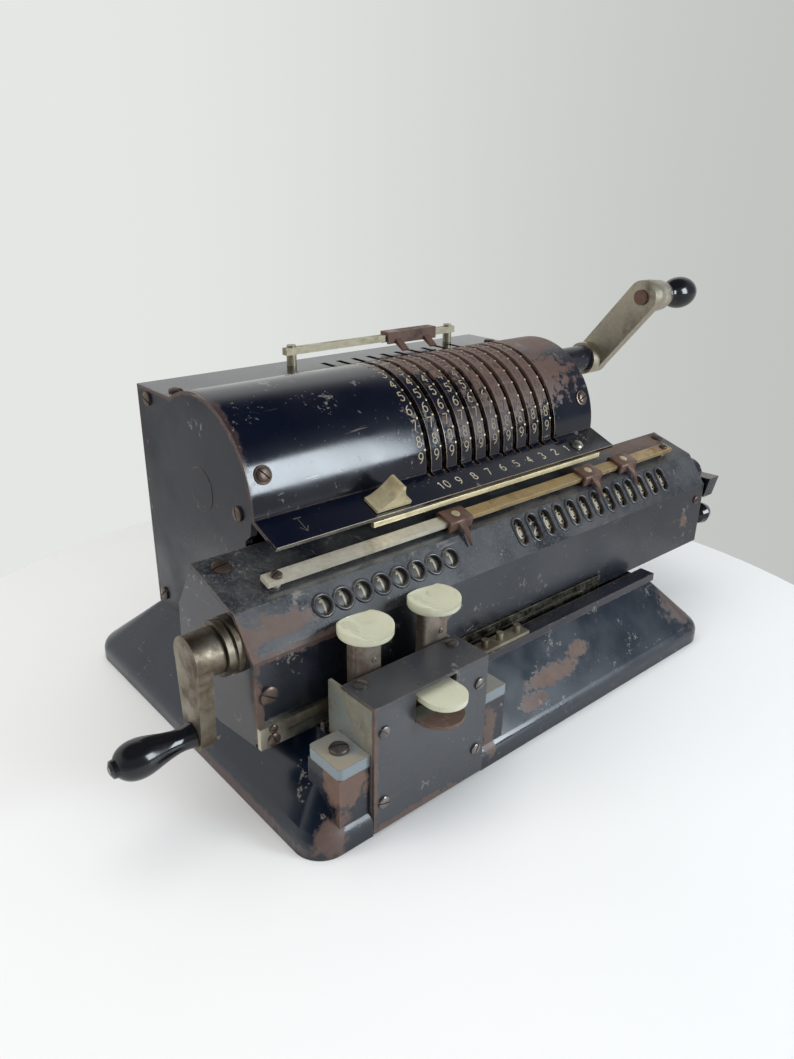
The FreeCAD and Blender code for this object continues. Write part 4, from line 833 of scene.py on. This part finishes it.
def finish_piece(obj: bpy.types.Object, material: Material, body: str, slot: str, *replaces: str) -> None:
    """Give a new piece its finish and its place in the machine.

    Args:
        obj: The piece.
        material: Its finish.
        body: The body that it rides on.
        slot: Not used.
        replaces: The nodes that it stands for.
    """
    obj.data.materials.append(material)
    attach(obj, body)
    if replaces:
        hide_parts(*replaces)
    LOG.info("made %s on %s", obj.name, body)


# Sub-assemblies

@dataclass
class DrumScale:
    """Figures and studs along the setting slots, and the column numbers on the flange."""

    figure_h: float = 4.7
    figure_weight: float = 0.52
    figure_width: float = 0.95
    figure_left: float = 4.5
    nine_angle: float = 8.8
    step: float = 10.35
    column_h: float = 4.4
    column_right: float = 1.0
    column_pitch: float = 3.6
    column_share: float = 0.42
    lift: float = 0.1
    lip_angles: tuple[float, float] = (-6.0, 122.0)
    lip_x: tuple[float, float] = (1.52, 1.74)
    stud_left: float = 1.75
    stud_turn: float = 4.5
    arrow_x: float = -86.0

    def figures(self) -> Shell:
        """Ten columns of 9 up to 0, left of their slots."""
        shell = Shell()
        for x in SLOT_X:
            for k, strokes in enumerate(reversed(FIGURES)):
                place = on_cylinder(x - self.figure_left, self.nine_angle + self.step * k, DRUM)
                write_strokes(shell, strokes, self.figure_h, self.figure_weight, self.lift, place,
                              self.figure_width)
        return shell

    def columns(self) -> Shell:
        """Column numbers 10 to 1 on the flange below the slots."""
        shell = Shell()
        for i, x in enumerate(SLOT_X):
            digits = str(len(SLOT_X) - i)
            for j, digit in enumerate(digits):
                across = x + self.column_right + (j - (len(digits) - 1) / 2) * self.column_pitch
                place = on_plane(across, FLANGE_FRONT, FLANGE_BEND, self.column_share)
                write_strokes(shell, FIGURES[int(digit)], self.column_h, self.figure_weight, self.lift, place)
        return shell

    def edge_line(self) -> Shell:
        """Bare edge of the flange: a thin band along its front fold."""
        shell = Shell()
        ends = on_plane(0.0, FLANGE_FRONT, FLANGE_BEND, 0.0)
        band = ends(np.zeros(4), np.array([0.05, 0.05, 0.34, 0.34]), np.array([-0.05, 0.06, 0.06, -0.05]))
        x = np.array([HOUSING_X[0] + 0.5, HOUSING_X[1] - 0.5])[:, None, None] * np.array(RIGHT)
        shell.tube(x + band[None])
        return shell

    def arrow(self) -> Shell:
        """Faint arrow scratched into the flange's left end."""
        shell = Shell()
        write_strokes(shell, ARROW, 8.5, 0.34, 0.06, on_plane(self.arrow_x, FLANGE_FRONT, FLANGE_BEND, 0.5))
        return shell

    def lips(self) -> Shell:
        """Bare metal at the right lip of each slot: a thin band round the drum."""
        shell = Shell()
        a = np.radians(np.linspace(*self.lip_angles, 60))[:, None]
        x, r = np.repeat(self.lip_x, 2)[None], np.array([[-0.05, 0.07, 0.07, -0.05]]) + DRUM[2]
        for slot in SLOT_X:
            across = slot + x + 0.0 * a
            shell.tube(np.stack([across, DRUM[0] - r * np.cos(a), DRUM[1] + r * np.sin(a)], axis=-1))
        return shell

    def studs(self) -> Shell:
        """Bright stud ends at the left edge of each slot, one for each figure."""
        shell = Shell()
        for x in SLOT_X:
            for k in range(len(FIGURES)):
                a = math.radians(self.nine_angle + self.step * k + self.stud_turn)
                out = np.array([0.0, -math.cos(a), math.sin(a)])
                foot = np.array([x - self.stud_left, *DRUM[:2]]) + out * (DRUM[2] - 0.3)
                lathe(shell, [(0.0, 0.55), (0.4, 0.55), (0.52, 0.3)], foot, out, 8)
        return shell

    def build(self, f: Finishes) -> None:
        """Make the pieces and put them on the frame."""
        finish_piece(self.figures().mesh("drum_figures", None), f["drum_figure_paint"], "frame", "ivory")
        finish_piece(self.columns().mesh("column_figures", None), f["figure_paint"], "frame", "ivory")
        finish_piece(self.studs().mesh("slot_studs"), f["pale_brass"], "frame", "brass")
        finish_piece(self.lips().mesh("slot_lips"), f["worn_plating"], "frame", "nickel")
        finish_piece(self.edge_line().mesh("flange_edge"), f["marker_bar_metal"], "frame", "nickel")
        cap = Shell()
        lathe(cap, [(-0.2, 9.6), (0.1, 9.6), (0.25, 9.4), (0.25, 0.01)], (HOUSING_X[0], *DRUM[:2]), LEFT, 64)
        finish_piece(cap.mesh("bearing_cap"), f["japan_side"], "frame", "japan")
        finish_piece(self.arrow().mesh("flange_arrow", None), f["arm_nickel"], "frame", "steel")


@dataclass
class Registers:
    """Figures and bands on the numeral wheels, and the raised rims of the windows."""

    figure_h: float = 5.7
    figure_weight: float = 0.85
    figure_width: float = 1.15
    zero_fill: float = 1.9
    face_angle: float = 38.3
    result_shown: tuple[int, ...] = (0, 2, 0, 0, 0, 0, 0, 3, 0, 0, 0, 0, 0)
    counter_shown: tuple[int, ...] = (1, 1, 1, 1, 1, 1, 1, 1)
    result_shift: float = 1.5
    counter_shift: float = 0.85
    band_r: float = 10.12
    band_foot: float = 9.7
    band_w: float = 7.4
    rim_r: float = 0.82
    rim_rise: float = 0.55
    rim_share: float = 0.58
    result_half: tuple[float, float] = (2.5, 6.0)
    counter_half: tuple[float, float] = (3.5, 3.5)

    def figures(self, places: Sequence[float], shown: Sequence[int], shift: float) -> Shell:
        """All ten figures round each wheel, with the shown one under the window.

        Args:
            places: Centres of the wheels along X.
            shown: Figure under each window.
            shift: How far the figures lie to the right of the wheels' middles.

        Returns:
            The shell with the figures.
        """
        shell = Shell()
        for x, front in zip(places, shown):
            for k, strokes in enumerate(FIGURES):
                place = on_cylinder(x + shift, self.face_angle - 36.0 * (k - front), REGISTER)
                write_strokes(shell, strokes, self.figure_h, self.figure_weight, 0.08, place,
                              self.figure_width)
                if k == 0:
                    write_strokes(shell, ZERO_FILL, self.figure_h, self.zero_fill, 0.05, place)
        return shell

    def bands(self, places: Sequence[float]) -> Shell:
        """Figure bands round the wheels: short rings that lie on them."""
        shell = Shell()
        half, r, foot = self.band_w / 2, self.band_r, self.band_foot
        side = [(-half, foot), (-half, r - 0.2), (0.2 - half, r)]
        profile = side + [(-at, radius) for at, radius in reversed(side)]
        for x in places:
            lathe(shell, profile, (x, *REGISTER[:2]), RIGHT, 48)
        return shell

    def rims(self) -> Shell:
        """Half-round beads carried round each window's outline on the sloped face."""
        shell = Shell()
        t = np.linspace(0.0, 2 * math.pi, 44, endpoint=False)[:, None]
        bead = np.linspace(0.0, 2 * math.pi, 10, endpoint=False)[None]
        above = self.rim_rise * np.sin(bead) + 0.0 * t
        closed = grid_faces(len(t) + 1, bead.size, True) % above.size
        spots = [(x, *self.result_half) for x in RESULT_X] + [(x, *self.counter_half) for x in COUNTER_X]
        for x, half_w, half_l in spots:
            place = on_plane(x, FOLD_TWO, FOLD_ONE, self.rim_share)
            r = half_w + self.rim_r * 0.9 + self.rim_r * np.cos(bead)
            across, up = r * np.cos(t), r * np.sin(t) + np.sign(np.sin(t)) * (half_l - half_w)
            shell.add(place(across.ravel(), up.ravel(), above.ravel()), closed)
        return shell

    def build(self, f: Finishes) -> None:
        """Make the pieces and put them on their wheels and on the carriage."""
        result = self.figures(RESULT_X, self.result_shown, self.result_shift)
        finish_piece(result.mesh("result_figures", None), f["figure_paint"], "result_register", "ivory")
        counter = self.figures(COUNTER_X, self.counter_shown, self.counter_shift)
        finish_piece(counter.mesh("counter_figures", None), f["figure_paint"], "counter_register", "ivory")
        result_bands = self.bands(RESULT_X).mesh("result_bands")
        finish_piece(result_bands, f["wheel_black"], "result_register", "aluminium")
        counter_bands = self.bands(COUNTER_X).mesh("counter_bands")
        finish_piece(counter_bands, f["wheel_grey"], "counter_register", "aluminium")
        beads = self.rims().mesh("window_beads", 80)
        finish_piece(beads, f["japan_carriage"], "carriage", "japan", "window_rims")


@dataclass
class Screws:
    """Slotted screws in place of the plain heads of the solids."""

    seat: float = 0.02
    inset: float = 7.0
    side_at: tuple[tuple[float, float], ...] = ((59.0, 135.0), (-13.5, 104.0), (62.0, 38.5))
    side_turns: tuple[Triple, Triple] = ((70, 20, 135), (100, 15, 60))
    drum_angle: float = 22.0
    drum_turns: tuple[float, float] = (40, 110)
    top_at: tuple[float, float] = (45.7, 139.82)
    top_turns: tuple[float, float] = (25, 80)
    strip_rise: float = 4.2
    block_front: float = -95.22
    block_at: tuple[tuple[float, float], ...] = ((-96.5, 45.0), (-96.5, 13.8), (-48.5, 45.0), (-48.5, 13.8))

    def housing(self) -> Shell:
        """Screws of the housing's sides, drum front and top."""
        shell = Shell()
        for wall, way, turns in zip(HOUSING_X, (LEFT, RIGHT), self.side_turns):
            for (y, z), turn in zip(self.side_at, turns):
                slotted_head(shell, (wall + way[0] * self.seat, y, z), way, 3.1, 1.5, turn)
        columns = (HOUSING_X[0] + self.inset, HOUSING_X[1] - self.inset)
        a = math.radians(self.drum_angle)
        out = np.array([0.0, -math.cos(a), math.sin(a)])
        for x, turn in zip(columns, self.drum_turns):
            foot = np.array([x, *DRUM[:2]]) + out * (DRUM[2] + self.seat)
            lathe(shell, [(0.0, 3.9), (0.35, 3.9), (0.5, 3.6)], foot, out)
            slotted_head(shell, foot + out * 0.45, out, 3.0, 1.3, turn)
        for x, turn in zip(columns, self.top_turns):
            slotted_head(shell, (x, *self.top_at), UP, 3.1, 1.4, turn)
        return shell

    def flange(self) -> Shell:
        """Domed bright screw on the flange."""
        shell = Shell()
        place = on_plane(SLOT_X[-1] + PITCH, FLANGE_FRONT, FLANGE_BEND, 0.45)
        seat, tip = place(np.zeros(2), np.zeros(2), np.array([self.seat, 1.0]))
        lathe(shell, [(0.0, 3.6), (0.7, 3.5), (1.5, 2.6), (1.9, 1.4), (2.0, 0.4)], seat, tip - seat)
        return shell

    def carriage(self) -> Shell:
        """Screws of the carriage's top, front and strip."""
        shell = Shell()
        left, right = CARRIAGE_X
        for x, y, lift, r in (
                (left + 9, FOLD_TOP[0] - 7, self.seat, 3.9), (right - 5, -30.5, self.seat, 3.0),
                (left + 22, -42.5, self.strip_rise, 2.2), (right - 19, -42.5, self.strip_rise, 2.2)):
            foot = np.array([x, y, FOLD_ONE[1] + (y - FOLD_ONE[0]) * math.tan(TOP_SLOPE)])
            slotted_head(shell, foot + lift * np.array(TOP_OUT), TOP_OUT, r, 1.5, 35 + x)
        face, strip = FOLD_TWO[0] - self.seat, FOLD_TWO[0] - 2.07
        for x, y, z, r, height, turn in (
                (left + 5.5, face, 53.9, 3.7, 1.6, 55), (right - 6.5, face, 61.0, 2.3, 1.0, 90),
                (left + 5.5, strip, 35.9, 2.6, 1.2, 20), (left + 5.5, strip, 40.5, 1.8, 1.0, 80)):
            slotted_head(shell, (x, y, z), FRONT, r, height, turn)
        return shell

    def block(self) -> Shell:
        """Screws of the key block and the frame foot."""
        shell = Shell()
        for i, (x, z) in enumerate(self.block_at):
            slotted_head(shell, (x, self.block_front, z), FRONT, 2.5, 1.1, 40 + 37 * i)
        for x, turn in ((-95.5, 30), (-49.5, 75)):
            slotted_head(shell, (x, -80.5, 56.42), UP, 2.7, 1.3, turn)
        slotted_head(shell, (-108.0, -83.5, 36.02), UP, 3.7, 2.2, 65, 0.5)
        return shell

    def build(self, f: Finishes) -> None:
        """Make the screws in place of the plain ones."""
        for shell, name, finish, body, slot, node in (
                (self.housing(), "housing_screws", "screw_steel", "frame", "brown_steel", "cover_screws"),
                (self.flange(), "flange_screw", "old_nickel", "frame", "nickel", "cover_screws"),
                (self.carriage(), "carriage_slotted_screws", "screw_steel", "carriage", "brown_steel",
                 "carriage_screws"),
                (self.block(), "block_slotted_screws", "grey_screw_steel", "frame", "brown_steel",
                 "block_screws")):
            finish_piece(shell.mesh(name), f[finish], body, slot, node)


@dataclass
class TopKeys:
    """Dished ivory caps on folded steel stems."""

    places: tuple[float, float] = (-87.0, -52.7)
    y: float = -72.6
    cap_r: float = 10.7
    cap_low: float = 70.4
    cap_t: float = 5.6
    dish: float = 2.9
    dish_half: float = 7.6
    stem_w: float = 13.4
    stem_wall: float = 1.2
    stem_bend: float = 1.4
    stem_z: tuple[float, float] = (30.4, 70.4)
    stem_y: tuple[float, float] = (-74.5, -70.0)
    screw_z: tuple[float, float] = (60.0, 66.5)

    def cap(self, x: float) -> Shell:
        """Disc with a rounded rim; its top is sunk by dish * (1 - (u / half) ** 2) ** 0.65."""
        shell = Shell()
        share = np.array([0.0, 0.2, 0.4, 0.58, 0.72, 0.83, 0.91, 0.96, 0.985, 1.0, 1.0, 0.985, 0.955, 0.9])
        drop = np.array([0, 0, 0, 0, 0, 0, 0.05, 0.16, 0.35, 0.75, 3.6, 4.1, 4.35, 4.4])[:, None]
        a = np.linspace(0.0, 2 * math.pi, 72, endpoint=False)[None]
        r = share[:, None] * self.cap_r
        u, v = r * np.cos(a), r * np.sin(a)
        hollow = self.dish * np.clip(1.0 - (np.abs(u) / self.dish_half) ** 2, 0.0, 1.0) ** 0.65
        edge = np.clip(1.0 - drop / 1.5, 0.0, 1.0)
        z = np.maximum(self.cap_low + self.cap_t - drop - hollow * edge, self.cap_low + 0.9 * (drop < 4.2))
        rows, cols = u.shape
        shell.add(np.stack([x + u, self.y + v, z], axis=-1), grid_faces(rows, cols, True))
        shell.faces.append(np.arange(cols)[::-1] + shell.count - cols)
        return shell

    def stem(self, x: float) -> Shell:
        """Channel of bent sheet: a rounded U section carried up from the block to the cap."""
        shell = Shell()
        half, t, r = self.stem_w / 2, self.stem_wall, self.stem_bend
        y0, y1 = self.stem_y
        turn = np.radians(np.linspace(180, 270, 6))
        left = np.stack([-half + r + r * np.cos(turn), y0 + r + r * np.sin(turn)], axis=-1)
        hollow = np.array([(half - t, y1), (half - t, y0 + r), (half - r, y0 + t)])
        loop = np.concatenate([[[-half, y1]], left, left[::-1] * (-1, 1), [[half, y1]],
                               hollow, hollow[::-1] * (-1, 1)])
        levels = np.linspace(*self.stem_z, 9)
        rings = [np.column_stack([x + loop[:, 0], loop[:, 1], np.full(len(loop), z)]) for z in levels]
        shell.tube(np.array(rings))
        lathe(shell, [(0.0, 5.4), (1.2, 5.4)], (x, (y0 + y1) / 2 - 0.2, self.stem_z[1] - 1.2), UP, 28)
        for z in self.screw_z:
            slotted_head(shell, (x + 2.6, y0, z), FRONT, 1.1, 0.5, 30)
        return shell

    def build(self, f: Finishes) -> None:
        """Make both keys in place of the plain ones."""
        for name, x in zip(("left_key", "right_key"), self.places):
            body = name + "_body"
            finish_piece(self.cap(x).mesh(name + "_cap", 40), f["ivory_celluloid"], body, "ivory", name)
            finish_piece(self.stem(x).mesh(name + "_stem"), f["stem_steel"], body, "brown_steel", name)


@dataclass
class SlidingMarkers:
    """Decimal markers: bent saddles on the bar, with pointed tails over the windows, and a brass rivet."""

    places: tuple[float, ...] = (-1.475 * PITCH, 8.325 * PITCH, 11.486 * PITCH)
    bar_y: float = -42.5
    width: float = 13.6
    half_depth: float = 5.1
    wall: float = 1.3
    low: float = 0.4
    high: float = 5.7
    rivet_r: float = 2.0
    tail_w: float = 5.2

    def on_top(self, away: Array, lift: Array) -> Array:
        """Points (y, z) at a distance along the slope from the bar and a lift above the face."""
        c, s = math.cos(TOP_SLOPE), math.sin(TOP_SLOPE)
        z0 = FOLD_ONE[1] + (self.bar_y - FOLD_ONE[0]) * math.tan(TOP_SLOPE)
        return np.stack([self.bar_y + away * c - lift * s, z0 + away * s + lift * c], axis=-1)

    def saddle(self, shell: Shell, x: float) -> None:
        """Channel of bent sheet over the bar."""
        d, w, lo, hi = self.half_depth, self.wall, self.low, self.high
        loop = rounded_loop([(-d, lo, 0.2), (-d, hi, 1.3), (d, hi, 1.3), (d, lo, 0.2), (d - w, lo, 0.2),
                             (d - w, hi - w, 0.3), (w - d, hi - w, 0.3), (w - d, lo, 0.2)])
        extrude_x(shell, self.on_top(loop[:, 0], loop[:, 1]), x - self.width / 2, x + self.width / 2, 0.25)

    def tail(self, shell: Shell, x: float) -> None:
        """Tapered tongue bent down over the fold, with a ridge along its middle.

        Its half width falls evenly to a tenth at the tip, and its section is a flat bottom under two
        slopes that meet in the ridge.

        Args:
            shell: Mesh in the making.
            x: Middle of the marker.
        """
        start = self.on_top(np.array([-self.half_depth + 0.4, -self.half_depth - 1.4]), np.array([4.3, 3.2]))
        face = on_plane(0.0, FOLD_TWO, FOLD_ONE, 1.0)
        down = face(np.zeros(3), np.array([-1.0, -3.6, -6.4]), np.array([2.4, 1.7, 1.3]))[:, 1:]
        path = np.concatenate([start, down])
        run = np.gradient(path, axis=0)
        run /= np.linalg.norm(run, axis=1, keepdims=True)
        out = np.stack([run[:, 1], -run[:, 0]], axis=-1)
        half = np.linspace(1.0, 0.1, len(path)) * self.tail_w / 2
        section = ((-1.0, 0.0), (-0.9, 0.45), (0.0, 1.1), (0.9, 0.45), (1.0, 0.0))
        ring = [np.column_stack([x + half * a, path + out * b]) for a, b in section]
        shell.tube(np.stack(ring, axis=1))

    def rivet(self, x: float) -> Shell:
        """Low dome on the saddle's top, square to the carriage's top face."""
        shell = Shell()
        foot = np.array([x, *self.on_top(np.zeros(1), np.full(1, self.high + 0.01))[0]])
        r = self.rivet_r
        dome = [(0.0, r), (0.2, r), (0.4, r * 0.8), (0.52, r * 0.4), (0.55, r * 0.1)]
        lathe(shell, dome, foot, TOP_OUT, 24)
        return shell

    def build(self, f: Finishes) -> None:
        """Make the saddles and rivets in place of the plain markers."""
        for i, x in enumerate(self.places, 1):
            shell = Shell()
            self.saddle(shell, x)
            self.tail(shell, x)
            body, node = "marker_%d" % i, "carriage_marker_%d" % i
            saddle, rivet = shell.mesh("marker_saddle_%d" % i, 40), self.rivet(x).mesh("marker_rivet_%d" % i)
            finish_piece(saddle, f["rusted_steel"], body, "brown_steel", node)
            finish_piece(rivet, f["pale_brass"], body, "brass")


@dataclass
class LockSlide:
    """Brass bar under the flange with a curved finger piece on it."""

    neck_x: float = HOUSING_X[0] + 59.0
    neck_y: float = -33.7
    neck_half: float = 1.2
    bar_x: tuple[float, float] = (HOUSING_X[0] + 47.0, HOUSING_X[1] - 11.0)
    bar_y: tuple[float, float] = (-39.4, -37.4)
    bar_z: tuple[float, float] = (93.95, 96.33)
    half: float = 9.4
    depth: float = 9.4
    crest: float = 2.6
    crest_half: float = 0.6
    rise: float = 10.3
    foot: float = 1.3

    def lever(self, shell: Shell) -> None:
        """Saddle-backed finger piece: two concave flanks that meet in a rounded crest.

        Left of the crest the height is foot + (rise - foot) * t ** 1.7 with t from 0 at the left foot to
        1 at the crest, and right of it foot + (rise - foot) * t ** 2.6 the other way.

        Args:
            shell: Mesh in the making.
        """
        slope = math.atan2(FLANGE_BEND[1] - FLANGE_FRONT[1], FLANGE_BEND[0] - FLANGE_FRONT[0])
        base = FLANGE_FRONT[1] + (self.neck_y - FLANGE_FRONT[0]) * math.tan(slope) + 0.42
        t = np.linspace(0.0, 1.0, 15)
        half, foot, climb = self.half, self.foot, self.rise - self.foot
        left, right = self.crest - self.crest_half, self.crest + self.crest_half
        x = np.concatenate([[-half], -half + (half + left) * t, right + (half - right) * t, [half]])
        height = np.concatenate([[0.0], foot + climb * t ** 1.7, foot + climb * (1 - t) ** 2.6, [0.0]])
        c, s = math.cos(slope), math.sin(slope)
        rings = []
        for across, k in ((-0.5, 0.93), (-0.46, 1.0), (0.46, 1.0), (0.5, 0.93)):
            d, h = across * self.depth, height * k
            rings.append(np.column_stack([self.neck_x + x * (0.5 + 0.5 * k), self.neck_y + d * c - h * s,
                                          base + d * s + h * c]))
        shell.tube(np.array(rings))

    def build(self, f: Finishes) -> None:
        """Make the slide in place of the plain one."""
        shell = Shell()
        (y0, y1), (z0, z1) = self.bar_y, self.bar_z
        back, front = self.neck_y + self.neck_half, self.neck_y - self.neck_half
        bar = rounded_loop([(y0, z0, 0.2), (y1, z0, 0.2), (y1, z1, 0.2), (y0, z1, 0.2)], 2)
        extrude_x(shell, bar, *self.bar_x)
        lug = np.array([(y0 + 0.1, z0 + 0.1), (back, z0 + 0.1), (back, z1 - 0.1), (y0 + 0.1, z1 - 0.1)])
        extrude_x(shell, lug, self.neck_x - 5, self.neck_x + 5)
        neck = np.array([(front, z0 + 0.2), (back, z0 + 0.2), (back, z1 + 5.2), (front, z1 + 4.6)])
        extrude_x(shell, neck, self.neck_x - 2, self.neck_x + 2)
        self.lever(shell)
        finish_piece(shell.mesh("lock_slide_bar", 40), f["pale_brass"], "lock_slide", "brass", "lock_bar")


# Studio

@dataclass(frozen=True)
class Lamp:
    """Rectangular soft lamp: place, aimed point and size in metres, power in watts and tint."""

    name: str
    at: Triple
    aim: Triple
    size: tuple[float, float]
    watts: float
    tint: Triple = (1.0, 0.99, 0.97)
    seen_in_gloss: bool = False

    def build(self) -> None:
        """Put the lamp in the scene."""
        data = bpy.data.lights.new(self.name, "AREA")
        data.shape = "RECTANGLE"
        data.size, data.size_y = self.size
        data.energy = self.watts
        data.color = self.tint
        obj = bpy.data.objects.new(self.name, data)
        obj.location = self.at
        obj.rotation_mode = "QUATERNION"
        obj.rotation_quaternion = (Vector(self.aim) - Vector(self.at)).to_track_quat("-Z", "Y")
        obj.visible_glossy = self.seen_in_gloss
        bpy.context.scene.collection.objects.link(obj)


LAMPS = (
    Lamp("window_lamp", (0.75, -1.32, 0.54), (0.0, 0.0, 0.1), (0.50, 0.80), 19.0, (0.84, 0.93, 1.0), True),
    Lamp("ceiling_lamp", (-0.1, 0.2, 1.5), (0.0, 0.0, 0.05), (1.2, 1.0), 6.5),
    Lamp("left_lamp", (-1.3, 0.3, 0.6), (0.0, 0.0, 0.05), (0.8, 0.9), 10.0))


@dataclass
class Studio:
    """Round white table, pale background, soft lamps and the camera of the photograph."""

    table_centre: tuple[float, float] = (-22.0, -22.0)
    table_r: float = 263.0
    table_light: Triple = (0.83, 0.83, 0.825)
    table_shade: Triple = (0.79, 0.79, 0.785)
    window_side: Triple = (0.24, 0.27, 0.31)
    far_side: Triple = (0.86, 0.87, 0.86)
    ceiling: Triple = (0.045, 0.05, 0.06)
    floor: Triple = (0.52, 0.52, 0.51)
    # Backdrop colours at the left and right of the view: painted light to the left, painted shade to the
    # right.
    backdrop_painted_light: Triple = (0.78, 0.80, 0.78)
    backdrop_painted_shade: Triple = (0.53, 0.545, 0.53)
    daylight: Triple = (0.985, 0.99, 1.0)
    daylight_strength: float = 0.56
    eye: Triple = (-0.25134, -0.27771, 0.22635)
    right: Triple = (0.75807, -0.65198, 0.01556)
    up: Triple = (0.24733, 0.30948, 0.91818)
    lens: float = 28.01

    def table(self) -> None:
        """Table top: a disc with a rounded edge, its top just under zero."""
        shell = Shell()
        r = self.table_r
        lathe(shell, [(-14.0, 255.0), (-14.0, r - 3), (-11.0, r), (-3.0, r), (-0.9, r - 0.9), (-0.02, r - 3),
                      (-0.02, 60.0), (-0.02, 1.0)], (*self.table_centre, 0.0), UP, 128)
        table = shell.mesh("table_top")
        material, g, shader = start_material("white_table")
        tint = g.mix(g.noise(6.0, 2.0), rgba(self.table_shade), rgba(self.table_light))
        g.tree.links.new(tint, shader.inputs["Base Color"])
        g.tree.links.new(g.span(g.noise(9.0, 3.0), 0.3, 0.7, 0.42, 0.56), shader.inputs["Roughness"])
        table.data.materials.append(material)

    def world(self) -> None:
        """Pale room: the background as the eye, gloss and glass see it, and dimmer for plain light."""
        world = bpy.data.worlds.new("room")
        world.use_nodes = True
        world.node_tree.nodes.clear()
        g = Graph(world.node_tree)
        path = g.node("ShaderNodeLightPath")
        seen = g.math("MAXIMUM", path.outputs["Is Camera Ray"], path.outputs["Is Transmission Ray"])
        way = g.node("ShaderNodeTexCoord").outputs["Generated"]
        x, y, z = g.node("ShaderNodeSeparateXYZ", {0: way}).outputs
        wall = g.mix(g.span(y, -0.4, 0.5), rgba(self.window_side), rgba(self.far_side))
        room = g.mix(g.span(z, 0.55, 0.8), wall, rgba(self.ceiling))
        room = g.mix(g.span(z, 0.0, -0.12), room, rgba(self.floor))
        # Backdrop for the eye and glass: painted light and shade, lighter to the left and darker to the right
        # across the view.
        across = g.math("SUBTRACT", g.math("MULTIPLY", x, 0.76), g.math("MULTIPLY", y, 0.65))
        plain = g.mix(g.span(across, -0.35, 0.5), rgba(self.backdrop_painted_light), rgba(self.backdrop_painted_shade))
        looks = ((plain, 1.0), (room, 1.0), (rgba(self.daylight), self.daylight_strength))
        backdrop, gloss, light = (
            g.node("ShaderNodeBackground", {"Color": colour, "Strength": strength}).outputs[0]
            for colour, strength in looks)
        glossy = path.outputs["Is Glossy Ray"]
        dim = g.node("ShaderNodeMixShader", {0: glossy, 1: light, 2: gloss}).outputs[0]
        both = g.node("ShaderNodeMixShader", {0: seen, 1: dim, 2: backdrop}).outputs[0]
        g.node("ShaderNodeOutputWorld", {"Surface": both})
        bpy.context.scene.world = world

    def camera(self) -> None:
        """Camera at the photograph's place, turned by its measured axes."""
        data = bpy.data.cameras.new("camera")
        data.lens = self.lens
        data.sensor_width = 36.0
        data.clip_start = 0.01
        obj = bpy.data.objects.new("camera", data)
        right, up = Vector(self.right), Vector(self.up)
        turned = Matrix((right, up, right.cross(up))).transposed().to_4x4()
        obj.matrix_world = Matrix.Translation(self.eye) @ turned
        bpy.context.scene.collection.objects.link(obj)
        bpy.context.scene.camera = obj

    def build(self) -> None:
        """Make the stage, the lamps and the camera."""
        self.table()
        self.world()
        for lamp in LAMPS:
            lamp.build()
        self.camera()
        bpy.context.scene.view_settings.view_transform = "Standard"


def main() -> None:
    """Build the studio, the finishes and every dressed piece, in order."""
    logging.basicConfig(level=logging.INFO)
    Studio().build()
    effects = Effects()
    finishes = {finish.name: finish.build(effects) for finish in FINISHES}
    dress_nodes(finishes)
    for assembly in (DrumScale(), Registers(), Screws(), TopKeys(), SlidingMarkers(), LockSlide()):
        assembly.build(finishes)


if __name__ == "__main__":
    main()
